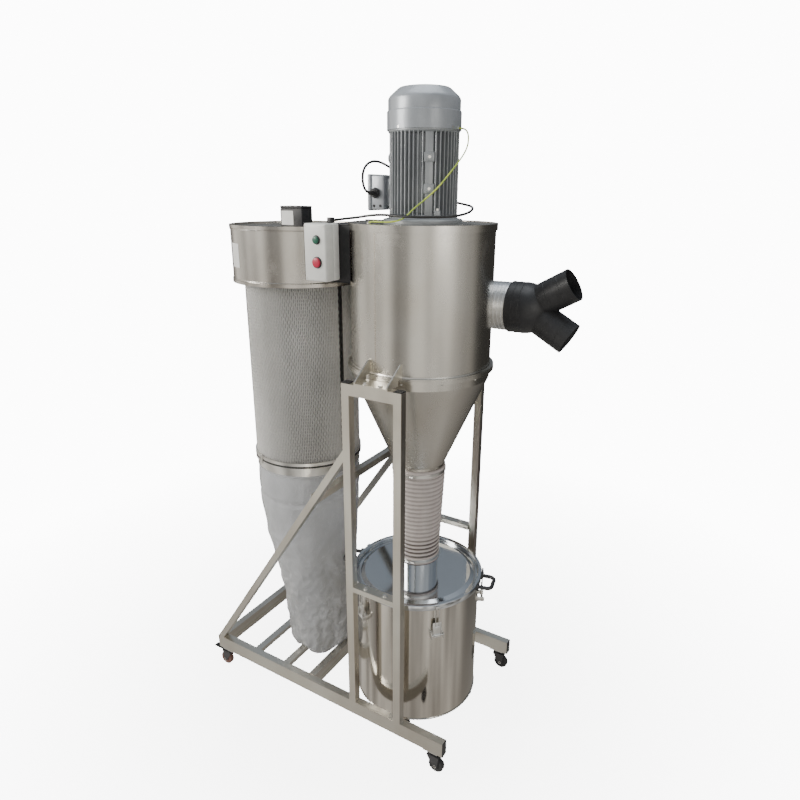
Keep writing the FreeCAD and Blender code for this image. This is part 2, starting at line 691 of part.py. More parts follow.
def make_motor():
    """The fan motor: flanged body, fan cowl, terminal box and cable glands."""
    deck = "cyclone_top + lid_thickness"
    keep("motor_body", turned([
        ("0", deck), ("motor_flange_radius", deck),
        ("motor_flange_radius", f"{deck} + motor_flange_height"),
        ("motor_radius", f"{deck} + motor_flange_height"),
        ("motor_radius", "motor_body_top"), ("0", "motor_body_top"),
    ], "cyclone_x", "0"))
    keep("motor_cowl", turned([
        ("0", "motor_body_top"), ("cowl_radius", "motor_body_top"), ("cowl_radius", "cowl_shoulder"),
        ("cowl_top_radius", "motor_top"), ("0", "motor_top"),
    ], "cyclone_x", "0"))
    box = block(
        "cyclone_x - terminal_reach", "0 - terminal_width / 2", "terminal_bottom",
        "terminal_depth", "terminal_width", "terminal_height",
    )
    neck = block(
        "cyclone_x - terminal_reach + terminal_depth", "0 - terminal_neck_width / 2",
        "terminal_bottom + (terminal_height - terminal_neck_height) / 2",
        "terminal_reach - terminal_depth", "terminal_neck_width", "terminal_neck_height",
    )
    barrel = rod("cyclone_x", "0", "cyclone_top", "motor_radius", "motor_top - cyclone_top")
    keep("terminal_box", cut(fuse(box, neck), barrel))
    gland = rod(
        "cyclone_x - gland_reach", "0 - terminal_width / 2 - gland_length", "gland_height",
        "gland_radius", "gland_length", (0, 1, 0),
    )
    entry = block(
        "cyclone_x - switch_reach - entry_inset - entry_side / 2",
        "0 - duct_half_width - duct_gap - entry_depth",
        "switch_bottom + switch_height", "entry_side", "entry_depth", "entry_side",
    )
    keep("cable_glands", gather(gland, entry))


# --- filter ----------------------------------------------------------------------------------------


def make_filter():
    """The filter head, its lid, the pleated cartridge, its bottom ring and the bag."""
    rim = "head_radius + head_rim"
    inner = "head_radius - sheet_wall"
    keep("filter_head", turned([
        ("cartridge_radius", "head_bottom"), (rim, "head_bottom"), (rim, "head_bottom + head_rim_height"),
        ("head_radius", "head_bottom + head_rim_height"), ("head_radius", "head_top - head_rim_height"),
        (rim, "head_top - head_rim_height"), (rim, "head_top"), (inner, "head_top"),
        (inner, "head_bottom + sheet_wall"), ("cartridge_radius", "head_bottom + sheet_wall"),
    ], "filter_x", "0"))
    keep("filter_head_lid", turned([
        ("0", "head_top - head_lid_drop - sheet_wall"), (inner, "head_top - head_lid_drop - sheet_wall"),
        (inner, "head_top - head_lid_drop"), ("0", "head_top - head_lid_drop"),
    ], "filter_x", "0"))
    cartridge = shell(
        "cartridge_radius", "cartridge_wall", "cartridge_bottom", "head_bottom", "filter_x", "0",
    )
    keep("filter_cartridge", cartridge)
    ring = "cartridge_radius + ring_width"
    band = "cartridge_radius - band_inset"
    low = "cartridge_bottom - band_height"
    keep("cartridge_ring", turned([
        ("cartridge_radius - cartridge_wall", "cartridge_bottom"), ("cartridge_radius", "cartridge_bottom"),
        ("cartridge_radius", "cartridge_bottom + ring_height"), (ring, "cartridge_bottom + ring_height"),
        (ring, "cartridge_bottom - ring_width"), (band, "cartridge_bottom - ring_width"), (band, low),
        ("cartridge_radius - cartridge_wall", low),
    ], "filter_x", "0"))


def make_bag():
    """The dust bag: it hangs from the cartridge's band, leans to the barrel and rests on the slats."""
    sections = (
        ("cartridge_radius - band_inset", "cartridge_bottom - band_height - bag_gap", "0", "0"),
        ("bag_shoulder_radius", "bag_shoulder_height", "0", "0"),
        ("bag_waist_radius", "bag_waist_height", "bag_waist_shift", "0"),
        ("bag_belly_radius", "bag_belly_height", "bag_belly_shift", "bag_belly_near"),
        ("bag_foot_radius", "rail_top + bag_gap", "bag_foot_shift", "bag_foot_near"),
    )
    loft = DOC.addObject("Part::Loft", "Bag")
    rings = []
    for radius, height, shift, near in sections:
        ring = DOC.addObject("Part::Circle", "Ring")
        bind(ring, Radius=radius)
        rings.append(place(ring, f"filter_x + {shift}", f"0 - {near}", height))
    loft.Sections = rings
    loft.Solid = True
    keep("dust_bag", loft)


def make_duct():
    """The closed duct from the cyclone's top to the filter head."""
    left = block(
        "filter_x", "0 - duct_half_width", "duct_bottom",
        "filter_pitch", "2 * duct_half_width", "duct_height",
    )
    hollow_duct = cut(left, block(
        "filter_x - 1", "duct_wall - duct_half_width", "duct_bottom + duct_wall",
        "filter_pitch + 2", "2 * duct_half_width - 2 * duct_wall", "duct_height - 2 * duct_wall",
    ))
    head = rod(
        "filter_x", "0", "duct_bottom - 10", "head_radius + head_rim + duct_gap", "duct_height + 20",
    )
    cyclone = rod(
        "cyclone_x", "0", "duct_bottom - 10",
        "cyclone_radius + lid_rim_width + duct_gap", "duct_height + 20",
    )
    keep("transfer_duct", cut(hollow_duct, fuse(head, cyclone)))


def make_switches():
    """The switch box with its two push buttons, and the control box on the filter head."""
    x = "cyclone_x - switch_reach - switch_width"
    y = "0 - duct_half_width - switch_depth - duct_gap"
    box = block(x, y, "switch_bottom", "switch_width", "switch_depth", "switch_height")
    button_x = f"{x} + switch_width - button_side - stop_radius"
    holes = []
    low = "switch_bottom + button_rise"
    buttons = (
        ("stop_button", "stop_radius", low),
        ("start_button", "button_radius", f"{low} + button_pitch"),
    )
    for node, radius, z in buttons:
        holes.append(rod(button_x, y, z, f"{radius} + button_play", "button_stem * 2", (0, 1, 0)))
        keep(node, rod(button_x, f"{y} - button_stand", z, radius, "button_stand + button_stem", (0, 1, 0)))
    keep("switch_box", cut(box, fuse(*holes)))
    control = block(
        "filter_x + control_shift - control_length / 2", "0 - control_near - control_width",
        "head_top - head_lid_drop", "control_length", "control_width", "control_height",
    )
    keep("control_box", control)


# --- cables ----------------------------------------------------------------------------------------


# Each route is in millimetres from the cyclone's axis: across X, across Y and above the floor.
POWER_ROUTE = (
    (-151, -78, 2070), (-151, -101, 2070), (-150, -122, 2077), (-149, -137, 2093), (-149, -142, 2116),
    (-151, -133, 2140), (-154, -109, 2159), (-158, -72, 2170), (-163, -24, 2172), (-166, 30, 2163),
    (-161, 84, 2144), (-136, 128, 2116), (-92, 158, 2086), (-34, 170, 2060), (30, 160, 2042),
    (90, 130, 2034), (142, 82, 2029), (176, 22, 2021), (186, -42, 2009), (166, -96, 2001),
    (118, -132, 1999), (58, -151, 1998), (-6, -157, 2000), (-70, -140, 2003), (-132, -128, 1999),
    (-184, -128, 1991), (-222, -141, 1987), (-238, -164, 1984), (-238, -190.3, 1984),
)
EARTH_ROUTE = (
    (121.6, 10.6, 2266), (139, 8, 2265), (155, 3, 2254), (161, -1, 2234), (161, -6, 2212),
    (155, -16, 2189), (144, -34, 2163), (127, -62, 2127), (102, -92, 2084), (72, -119, 2050),
    (42, -140, 2022), (18, -143, 1998), (-6, -150, 1985), (-34, -162, 1981), (-64, -166, 1981),
    (-94, -158, 1981), (-120, -142, 1979), (-140, -122, 1976),
)
ARC_SHARE = 0.45


def cord(node, route, diameter):
    """A cable along straight runs that tangent arcs join, each arc as large as its runs allow."""
    axis = Vector(number("cyclone_x"), 0, 0)
    spots = [axis + Vector(*point) for point in route]
    edges = []
    radii = []
    start = spots[0]
    for before, corner, after in zip(spots, spots[1:], spots[2:]):
        inward = (before - corner).normalize()
        outward = (after - corner).normalize()
        half_turn = (math.pi - inward.getAngle(outward)) / 2
        trim = ARC_SHARE * min(before.distanceToPoint(corner), corner.distanceToPoint(after))
        radius = trim / math.tan(half_turn)
        radii.append(radius)
        enter = corner + inward * trim
        leave = corner + outward * trim
        middle = corner + (inward + outward).normalize() * (radius / math.cos(half_turn) - radius)
        edges.append(Part.LineSegment(start, enter).toShape())
        edges.append(Part.Arc(enter, middle, leave).toShape())
        start = leave
    edges.append(Part.LineSegment(start, spots[-1]).toShape())
    path = Part.Wire(edges)
    radius = number(diameter) / 2
    ring = Part.Circle(spots[0], spots[1] - spots[0], radius).toShape()
    tube = path.makePipeShell([Part.Wire(ring)], True, True)
    share = tube.Volume / (math.pi * radius ** 2 * path.Length)
    print(f"{node}: length {path.Length:.0f}, least bend {min(radii):.1f}, volume share {share:.4f}")
    cable = DOC.addObject("Part::Feature", "Cable")
    cable.Shape = tube
    return keep(node, cable)


def export():
    """Checks every object and writes one STEP file for each named piece."""
    DOC.recompute()
    for thing in DOC.Objects:
        if {"Invalid", "Error"} & set(thing.State):
            raise RuntimeError(f"{thing.Name} ({thing.Label}) failed: {thing.State}")
    os.makedirs("parts", exist_ok=True)
    for node, thing in NODES.items():
        if thing.Shape.isNull() or not thing.Shape.isValid():
            raise RuntimeError(f"{node} has no valid shape")
        thing.Shape.exportStep(f"parts/{node}.step")
    print(f"{len(NODES)} pieces")


make_rails()
make_posts()
make_braces()
make_end_caps()
make_casters()
make_cyclone()
make_brackets()
make_hose()
make_barrel()
make_latches()
make_handles()
make_barrel_casters()
make_inlet()
make_motor()
make_filter()
make_bag()
make_duct()
make_switches()
cord("power_cord", POWER_ROUTE, "power_diameter")
cord("earth_wire", EARTH_ROUTE, "earth_diameter")
export()
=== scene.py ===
"""Looks of a two-stage dust separator: a cyclone over a barrel, a fan motor, a filter and its bag.

Every place is in metres in the frame's own axes: +Z up, +X along the frame towards the inlet, and
+Y away from the side with the switch box. Each sub-assembly is a class that builds and dresses its
own pieces.
"""

import logging
import math
from dataclasses import dataclass, field
from enum import Enum
from typing import Iterable, Sequence

import bmesh
import bpy
from mathutils import Matrix, Vector, noise


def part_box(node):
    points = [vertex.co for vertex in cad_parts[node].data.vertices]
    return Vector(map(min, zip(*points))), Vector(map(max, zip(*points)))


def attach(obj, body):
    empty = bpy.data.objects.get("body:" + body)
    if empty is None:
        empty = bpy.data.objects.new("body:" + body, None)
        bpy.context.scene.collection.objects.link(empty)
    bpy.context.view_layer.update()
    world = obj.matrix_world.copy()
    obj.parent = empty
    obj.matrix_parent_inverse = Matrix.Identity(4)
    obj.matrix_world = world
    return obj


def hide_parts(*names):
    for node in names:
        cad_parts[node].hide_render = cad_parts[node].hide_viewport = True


LOG = logging.getLogger("separator")
MM = 0.001
ROOT = "frame"

Point = tuple[float, float, float]
Outline = Sequence[tuple[float, float]]


# --- shader graph ------------------------------------------------------------------------------------


class Value:
    """A number in a node tree, with its arithmetic written as Python operators."""

    def __init__(self, graph: "Graph", socket: bpy.types.NodeSocket) -> None:
        """Keeps the socket that gives the number.

        Args:
            graph: The graph that the socket is in.
            socket: The output that gives the number.
        """
        self.graph = graph
        self.socket = socket

    def reckon(self, operation: str, *terms: "Value | float", clamp: bool = False) -> "Value":
        """Adds one Math node.

        Args:
            operation: The Math node's operation.
            terms: Its inputs, in order.
            clamp: Whether the result is kept between 0 and 1.

        Returns:
            The node's result.
        """
        made = self.graph.node("ShaderNodeMath", {"operation": operation, "use_clamp": clamp}, *terms)
        return Value(self.graph, made.outputs[0])

    def __add__(self, other: "Value | float") -> "Value":
        """Adds."""
        return self.reckon("ADD", self, other)

    def __radd__(self, other: float) -> "Value":
        """Adds to a plain number."""
        return self.reckon("ADD", other, self)

    def __sub__(self, other: "Value | float") -> "Value":
        """Subtracts."""
        return self.reckon("SUBTRACT", self, other)

    def __rsub__(self, other: float) -> "Value":
        """Subtracts from a plain number."""
        return self.reckon("SUBTRACT", other, self)

    def __mul__(self, other: "Value | float") -> "Value":
        """Multiplies."""
        return self.reckon("MULTIPLY", self, other)

    def __rmul__(self, other: float) -> "Value":
        """Multiplies a plain number."""
        return self.reckon("MULTIPLY", other, self)

    def ramp(self, low: float, high: float) -> "Value":
        """Stretches low to high onto 0 to 1 and clamps it.

        Args:
            low: What becomes 0.
            high: What becomes 1.

        Returns:
            The stretched number.
        """
        shifted = self - low
        return shifted.reckon("MULTIPLY", shifted, 1.0 / (high - low), clamp=True)

    def wave(self, turns: float) -> "Value":
        """A sine between 0 and 1 that repeats a number of times in each unit.

        Args:
            turns: Repeats in each unit.

        Returns:
            The wave.
        """
        angle = self * (2 * math.pi * turns)
        return angle.reckon("SINE", angle) * 0.5 + 0.5


class Graph:
    """The node tree of a material, around one Principled shader, or of a world."""

    def __init__(self, block: bpy.types.Material | bpy.types.World) -> None:
        """Starts the tree.

        Args:
            block: The material or the world that the tree belongs to.
        """
        block.use_nodes = True
        self.block = block
        self.tree = block.node_tree
        self.shader = self.tree.nodes.get("Principled BSDF")

    def feed(self, socket: bpy.types.NodeSocket, value: object) -> None:
        """Links a value into a socket, or sets the socket's own value.

        Args:
            socket: The input.
            value: A Value, an output socket, a number, a colour or a vector.
        """
        source = value.socket if isinstance(value, Value) else value
        if isinstance(source, bpy.types.NodeSocket):
            self.tree.links.new(source, socket)
        elif isinstance(source, tuple) and len(source) == 3 and socket.type == "RGBA":
            socket.default_value = (*source, 1.0)
        else:
            socket.default_value = source

    def node(
        self, kind: str, settings: dict[str, object], *inputs: object, **named: object,
    ) -> bpy.types.Node:
        """Adds a node.

        Args:
            kind: The node's type.
            settings: Its settings, made before its inputs. A ramp's "stops" are places and colours.
            inputs: What its first sockets take, in order.
            named: What its other sockets take, by name with underscores for spaces.

        Returns:
            The node.
        """
        made = self.tree.nodes.new(kind)
        for key, value in settings.items():
            if key == "stops":
                self.stops(made.color_ramp, value)
            else:
                setattr(made, key, value)
        for socket, value in zip(made.inputs, inputs):
            self.feed(socket, value)
        for key, value in named.items():
            self.feed(made.inputs[key.replace("_", " ")], value)
        return made

    def stops(self, ramp: bpy.types.ColorRamp, stops: Sequence[tuple[float, Point]]) -> None:
        """Sets a colour ramp's stops.

        Args:
            ramp: The ramp.
            stops: The place and the colour of each, from the lowest up.
        """
        for element, (place, colour) in zip(ramp.elements, (stops[0], stops[-1])):
            element.position, element.color = place, (*colour, 1.0)
        for place, colour in stops[1:-1]:
            ramp.elements.new(place).color = (*colour, 1.0)

    def spot(self, scale: Point = (1.0, 1.0, 1.0)) -> bpy.types.NodeSocket:
        """Object coordinates, stretched.

        Args:
            scale: The stretch along each axis.

        Returns:
            The vector.
        """
        source = self.node("ShaderNodeTexCoord", {})
        mapped = self.node("ShaderNodeMapping", {}, Vector=source.outputs["Object"], Scale=scale)
        return mapped.outputs[0]

    def axis(self, letter: str) -> Value:
        """One coordinate of the surface, in metres.

        Args:
            letter: X, Y or Z.

        Returns:
            The coordinate.
        """
        split = self.node("ShaderNodeSeparateXYZ", {}, self.spot())
        return Value(self, split.outputs[letter])

    def grain(self, scale: Point, detail: float = 3.0, rough: float = 0.55) -> Value:
        """Noise on stretched coordinates.

        Args:
            scale: The stretch along each axis.
            detail: The noise's octaves.
            rough: How strong the small octaves are.

        Returns:
            The noise, around one half.
        """
        made = self.node(
            "ShaderNodeTexNoise", {}, Vector=self.spot(scale), Scale=1.0, Detail=detail, Roughness=rough,
        )
        return Value(self, made.outputs[0])

    def mix(self, factor: object, low: object, high: object) -> bpy.types.NodeSocket:
        """Mixes two colours.

        Args:
            factor: A number from 0 for the first colour to 1 for the second.
            low: The first colour.
            high: The second colour.

        Returns:
            The mixed colour.
        """
        made = self.node("ShaderNodeMix", {"data_type": "RGBA"}, factor)
        self.feed(made.inputs[6], low)
        self.feed(made.inputs[7], high)
        return made.outputs[2]

    def relief(self, height: Value, distance: float, strength: float = 0.5) -> None:
        """Bumps the surface.

        Args:
            height: The height, 0 to 1.
            distance: What a height of 1 is, in metres.
            strength: How much of it is used.
        """
        bump = self.node("ShaderNodeBump", {}, Strength=strength, Distance=distance, Height=height)
        self.feed(self.shader.inputs["Normal"], bump.outputs[0])

    def set(self, **values: object) -> None:
        """Feeds the shader's sockets.

        Args:
            values: What each socket takes, by name with underscores for spaces.
        """
        for key, value in values.items():
            self.feed(self.shader.inputs[key.replace("_", " ")], value)


# --- finishes ----------------------------------------------------------------------------------------


class Grain(Enum):
    """The way that a brushed surface's scratches run: the noise's stretch along X, Y and Z."""

    AROUND = (14.0, 14.0, 900.0)
    UPRIGHT = (420.0, 420.0, 5.0)
    ALONG_X = (6.0, 520.0, 520.0)
    ALONG_Y = (520.0, 6.0, 520.0)
    LEVEL = (60.0, 60.0, 60.0)


def shade(colour: Point, factor: float) -> Point:
    """A lighter or darker colour.

    Args:
        colour: Red, green and blue.
        factor: What each is multiplied by.

    Returns:
        The new colour.
    """
    return tuple(min(1.0, channel * factor) for channel in colour)


@dataclass(frozen=True)
class Steel:
    """Bare sheet or tube: brushed lines, cloudy tints and a little handling dirt.

    Attributes:
        name: The finish's name.
        tint: The metal's colour.
        roughness: How matt it is.
        grain: The way that its scratches run.
        cloud: How strong the cloudy tints are.
        scratch: How deep the scratches are, in metres.
        warm: The colour of the clouds.
    """

    name: str
    tint: Point
    roughness: float = 0.3
    grain: Grain = Grain.AROUND
    cloud: float = 0.5
    scratch: float = 0.0000015
    warm: Point = (0.50, 0.455, 0.39)

    def make(self) -> bpy.types.Material:
        """Builds the material.

        Returns:
            The material.
        """
        graph = Graph(bpy.data.materials.new(self.name))
        lines = graph.grain(self.grain.value, 4.0, 0.6)
        clouds = graph.grain((3.5, 3.5, 2.4), 3.0, 0.6).ramp(0.38, 0.68)
        smears = graph.grain((11.0, 11.0, 7.0), 5.0, 0.7).ramp(0.52, 0.75)
        base = graph.mix(clouds * self.cloud, self.tint, self.warm)
        streaked = graph.mix(lines.ramp(0.3, 0.8) * 0.12, base, shade(self.tint, 0.62))
        graph.set(
            Base_Color=streaked, Metallic=1.0, Anisotropic=0.35,
            Roughness=lines * 0.06 + smears * 0.08 + (self.roughness - 0.03),
        )
        graph.relief(lines, self.scratch, 0.6)
        return graph.block


@dataclass(frozen=True)
class Moulding:
    """Moulded plastic or paint: fine stipple, soft colour changes, dust on it.

    Attributes:
        name: The finish's name.
        tint: The colour.
        roughness: How matt it is.
        stipple: How deep the surface's texture is, in metres.
        grainy: How many grains there are in a metre.
        coat: How much clear gloss lies on it.
        dust: How much dust lightens it.
        metallic: How metallic it is, as on a metallic paint.
    """

    name: str
    tint: Point
    roughness: float = 0.45
    stipple: float = 0.00004
    grainy: float = 900.0
    coat: float = 0.0
    dust: float = 0.12
    metallic: float = 0.0

    def make(self) -> bpy.types.Material:
        """Builds the material.

        Returns:
            The material.
        """
        graph = Graph(bpy.data.materials.new(self.name))
        fine = graph.grain((self.grainy,) * 3, 2.0, 0.5)
        soft = graph.grain((9.0, 9.0, 9.0), 4.0, 0.6)
        dusty = graph.grain((38.0, 38.0, 24.0), 5.0, 0.65).ramp(0.5, 0.8)
        varied = graph.mix(soft.ramp(0.3, 0.7), shade(self.tint, 0.88), shade(self.tint, 1.1))
        pale = tuple(0.55 * channel + 0.25 for channel in self.tint)
        graph.set(
            Base_Color=graph.mix(dusty * self.dust, varied, pale), Metallic=self.metallic,
            Roughness=fine * 0.12 + dusty * 0.12 + (self.roughness - 0.06), Coat_Weight=self.coat,
        )
        graph.relief(fine, self.stipple, 0.5)
        return graph.block


@dataclass(frozen=True)
class PleatCloth:
    """Filter cloth: a fibrous pale felt, with painted shade in the folds between the pleats.

    Attributes:
        name: The finish's name.
        tint: The cloth's colour.
        crest: The radius at which a fold's crest lies, in metres.
        depth: How far in from it the painted shade in the folds reaches, in metres.
        centre: The cartridge's axis, along X, in metres.
    """

    name: str
    tint: Point
    crest: float
    depth: float
    centre: float

    def make(self) -> bpy.types.Material:
        """Builds the material.

        Returns:
            The material.
        """
        graph = Graph(bpy.data.materials.new(self.name))
        across = graph.axis("X") - self.centre
        away = graph.axis("Y")
        square = across * across + away * away
        radius = square.reckon("SQRT", square)
        # open_part is 0 deep in a fold and 1 at a crest; the folds get painted shade, a much darker copy of
        # the cloth's colour.
        open_part = radius.ramp(self.crest - self.depth, self.crest)
        fibre = graph.grain((300.0, 300.0, 90.0), 4.0, 0.7)
        stains = graph.grain((6.0, 6.0, 4.0), 4.0, 0.6).ramp(0.4, 0.75)
        lit = graph.mix(fibre.ramp(0.3, 0.7), shade(self.tint, 0.86), shade(self.tint, 1.08))
        fold_shaded = graph.mix(open_part, shade(self.tint, 0.32), lit)
        graph.set(
            Base_Color=graph.mix(stains * 0.3, fold_shaded, shade(self.tint, 0.72)),
            Roughness=fibre * 0.1 + 0.82,
        )
        graph.relief(fibre, 0.0003, 0.5)
        return graph.block


@dataclass(frozen=True)
class Film:
    """Thin cloudy plastic film: darker towards the bottom in patches, shiny outside, with small creases.

    Attributes:
        name: The finish's name.
        tint: The film's colour.
        dust: The colour that it darkens to towards the bottom, in patches.
        alpha: How much of what is behind it is hidden.
        crease: How deep the creases are, in metres.
    """

    name: str
    tint: Point
    dust: Point
    alpha: float = 0.94
    crease: float = 0.007

    def make(self) -> bpy.types.Material:
        """Builds the material.

        Returns:
            The material.
        """
        graph = Graph(bpy.data.materials.new(self.name))
        creases = graph.grain((13.0, 13.0, 7.0), 5.0, 0.62)
        crinkle = graph.grain((60.0, 60.0, 30.0), 4.0, 0.6)
        low = graph.axis("Z").ramp(0.75, 0.15)
        patches = graph.grain((5.0, 5.0, 3.0), 3.0, 0.5).ramp(0.35, 0.7)
        # Darker towards the bottom, in patches.
        darker_low = graph.mix(low * patches * 0.8, self.tint, self.dust)
        graph.set(
            Base_Color=graph.mix(creases.ramp(0.35, 0.65) * 0.35, darker_low, shade(self.tint, 1.25)),
            Roughness=crinkle * 0.2 + 0.24, Alpha=self.alpha, Coat_Weight=0.15,
            Subsurface_Weight=0.1, Subsurface_Radius=(0.02, 0.02, 0.02),
        )
        graph.relief(creases + crinkle * 0.25, self.crease, 0.7)
        return graph.block


@dataclass(frozen=True)
class Ribs:
    """A ribbed hose's wall: clear plastic over a wire, with painted shade in its grooves.

    Attributes:
        name: The finish's name.
        tint: The wall's colour on a rib.
        groove: The colour of the painted shade in a groove.
        pitch: The height of one rib, in metres.
        start: The height of a groove, in metres.
        dark_below: The height under which the painted shade in the grooves is darker, in metres.
    """

    name: str
    tint: Point
    groove: Point
    pitch: float
    start: float
    dark_below: float

    def make(self) -> bpy.types.Material:
        """Builds the material.

        Returns:
            The material.
        """
        graph = Graph(bpy.data.materials.new(self.name))
        height = graph.axis("Z") - self.start
        rib = (height - self.pitch / 4).wave(1.0 / self.pitch)
        # Painted shade: the grooves darken towards the groove colour, and more so below dark_below.
        low = graph.axis("Z").ramp(self.dark_below + 0.03, self.dark_below - 0.02)
        deep = (1 - rib.ramp(0.1, 0.75)) * (low * 0.85 + 0.4)
        mottle = graph.grain((30.0, 30.0, 12.0), 4.0, 0.6)
        wall = graph.mix(mottle.ramp(0.3, 0.7), shade(self.tint, 0.9), shade(self.tint, 1.08))
        graph.set(
            Base_Color=graph.mix(deep, wall, self.groove), Roughness=mottle * 0.15 + 0.28,
            Alpha=0.97, Coat_Weight=0.2,
        )
        graph.relief(mottle, 0.0004, 0.4)
        return graph.block


@dataclass(frozen=True)
class Sheath:
    """A cable's sheath: soft plastic with scuffs, plain or with a second colour in patches.

    Attributes:
        name: The finish's name.
        tint: The colour.
        second: The second colour.
        share: How much of the surface the second colour takes.
    """

    name: str
    tint: Point
    second: Point
    share: float = 0.0

    def make(self) -> bpy.types.Material:
        """Builds the material.

        Returns:
            The material.
        """
        graph = Graph(bpy.data.materials.new(self.name))
        scuff = graph.grain((160.0, 160.0, 160.0), 4.0, 0.6)
        bands = graph.grain((26.0, 26.0, 26.0), 1.0, 0.4).ramp(0.47, 0.5)
        two = graph.mix(bands * self.share, self.tint, self.second)
        graph.set(
            Base_Color=graph.mix(scuff.ramp(0.5, 0.8) * 0.3, two, shade(self.tint, 1.5)),
            Roughness=scuff * 0.2 + 0.34,
        )
        graph.relief(scuff, 0.0001, 0.4)
        return graph.block


class Finishes:
    """Every finish that the pieces wear, built once each."""

    def __init__(self, filter_x: float) -> None:
        """Builds the materials.

        Args:
            filter_x: The filter's axis along X, in metres.
        """
        frame_tint = (0.70, 0.685, 0.62)
        sheet_tint = (0.64, 0.625, 0.585)
        self.tube_x = Steel("tube_along_x", frame_tint, 0.30, Grain.ALONG_X, 0.55).make()
        self.tube_y = Steel("tube_along_y", frame_tint, 0.30, Grain.ALONG_Y, 0.55).make()
        self.tube_z = Steel("tube_upright", frame_tint, 0.30, Grain.UPRIGHT, 0.55).make()
        self.sheet = Steel("cyclone_sheet", sheet_tint, 0.26, Grain.AROUND, 0.6).make()
        self.head = Steel("filter_head_sheet", (0.62, 0.60, 0.565), 0.24, Grain.AROUND, 0.5).make()
        self.barrel = Steel("barrel_sheet", (0.64, 0.61, 0.56), 0.12, Grain.AROUND, 0.4, 0.000004).make()
        self.polished = Steel("polished_lid", (0.66, 0.68, 0.70), 0.1, Grain.LEVEL, 0.15, 0.000003).make()
        self.weld = Steel("weld_bead", (0.42, 0.38, 0.33), 0.42, Grain.LEVEL, 0.8, 0.0001).make()
        self.zinc = Steel("zinc_plate", (0.74, 0.74, 0.72), 0.3, Grain.LEVEL, 0.25).make()
        self.foil = Steel("inlet_tube_sheet", (0.80, 0.81, 0.82), 0.28, Grain.UPRIGHT, 0.1, 0.0006).make()
        self.black = Moulding("black_moulding", (0.018, 0.018, 0.020), 0.42, dust=0.06).make()
        self.duct = Moulding("black_sheet", (0.014, 0.014, 0.016), 0.5, dust=0.05).make()
        self.rubber = Moulding("seal_rubber", (0.03, 0.03, 0.032), 0.7, 0.0001, dust=0.1).make()
        self.fork = Moulding("fork_paint", (0.025, 0.025, 0.028), 0.35, coat=0.3, dust=0.15).make()
        self.tread = Moulding("wheel_tread", (0.16, 0.075, 0.06), 0.5, 0.0001, dust=0.2).make()
        self.motor = Moulding(
            "motor_paint", (0.33, 0.35, 0.365), 0.38, 0.00006, 500.0, 0.1, 0.05, 0.3,
        ).make()
        self.cowl = Moulding(
            "cowl_paint", (0.36, 0.385, 0.415), 0.34, 0.00003, 700.0, 0.2, 0.04, 0.3,
        ).make()
        self.shell = Moulding("switch_shell", (0.72, 0.73, 0.70), 0.38, 0.00002, coat=0.15, dust=0.1).make()
        self.green = Moulding("green_button", (0.01, 0.10, 0.06), 0.4, 0.00001, coat=0.1, dust=0.03).make()
        self.red = Moulding("red_button", (0.48, 0.012, 0.05), 0.4, 0.00001, coat=0.1, dust=0.03).make()
        self.label = Moulding("blank_label", (0.80, 0.80, 0.78), 0.5, 0.00001, dust=0.15).make()
        self.cloth = PleatCloth("filter_cloth", (0.82, 0.81, 0.78), 0.216, 0.012, filter_x).make()
        self.mesh = Moulding("mesh_coating", (0.66, 0.66, 0.64), 0.4, 0.00002, dust=0.1).make()
        self.film = Film("bag_film", (0.40, 0.41, 0.425), (0.30, 0.295, 0.285)).make()
        self.seam = Moulding("bag_seam", (0.42, 0.43, 0.44), 0.6, 0.0001).make()
        self.flap = Film("flap_film", (0.78, 0.79, 0.79), (0.6, 0.6, 0.6), 0.75, 0.001).make()
        self.cable = Sheath("cable_sheath", (0.014, 0.014, 0.015), (0.014, 0.014, 0.015)).make()
        self.earth = Sheath("earth_sheath", (0.62, 0.74, 0.10), (0.20, 0.38, 0.08), 0.5).make()


# --- mesh tools --------------------------------------------------------------------------------------


def lathe(mesh: bmesh.types.BMesh, outline: Outline, centre: Point, steps: int = 96) -> None:
    """Turns a closed outline of radii and heights about an upright axis.

    Args:
        mesh: The mesh that it is added to.
        outline: Radius and height of each corner.
        centre: A point on the axis, from which heights count.
        steps: The number of sides.
    """
    base = Vector(centre)
    corners = [mesh.verts.new(base + Vector((radius, 0.0, height))) for radius, height in outline]
    edges = [mesh.edges.new((one, two)) for one, two in zip(corners, corners[1:] + corners[:1])]
    bmesh.ops.spin(
        mesh, geom=corners + edges, cent=centre, axis=(0, 0, 1), dvec=(0, 0, 0),
        angle=2 * math.pi, steps=steps, use_merge=True, use_normal_flip=False, use_duplicate=False,
    )


def edges_of(vertices: Iterable[bmesh.types.BMVert]) -> list[bmesh.types.BMEdge]:
    """Every edge that meets one of some vertices."""
    return list({edge for vertex in vertices for edge in vertex.link_edges})


def box(
    mesh: bmesh.types.BMesh, low: Point, high: Point, bevel: float = 0.0, segments: int = 2,
) -> list[bmesh.types.BMVert]:
    """Adds a box with rounded edges.

    Args:
        mesh: The mesh that it is added to.
        low: Its lowest corner.
        high: Its highest corner.
        bevel: The edges' radius.
        segments: The steps in each rounded edge.

    Returns:
        The box's vertices.
    """
    low_corner, high_corner = Vector(low), Vector(high)
    size = high_corner - low_corner
    place = Matrix.Translation((low_corner + high_corner) / 2) @ Matrix.Diagonal((*size, 1.0))
    made = bmesh.ops.create_cube(mesh, size=1.0, matrix=place)["verts"]
    if bevel <= 0:
        return made
    rounded = bmesh.ops.bevel(
        mesh, geom=edges_of(made), offset=bevel, affect="EDGES", segments=segments, profile=0.5, material=-1,
    )
    kept = [vertex for vertex in made if vertex.is_valid]
    return list({*kept, *rounded["verts"]})


def upright(direction: Vector) -> Matrix:
    """The turn that takes +Z to a direction."""
    return Vector((0, 0, 1)).rotation_difference(direction).to_matrix().to_4x4()


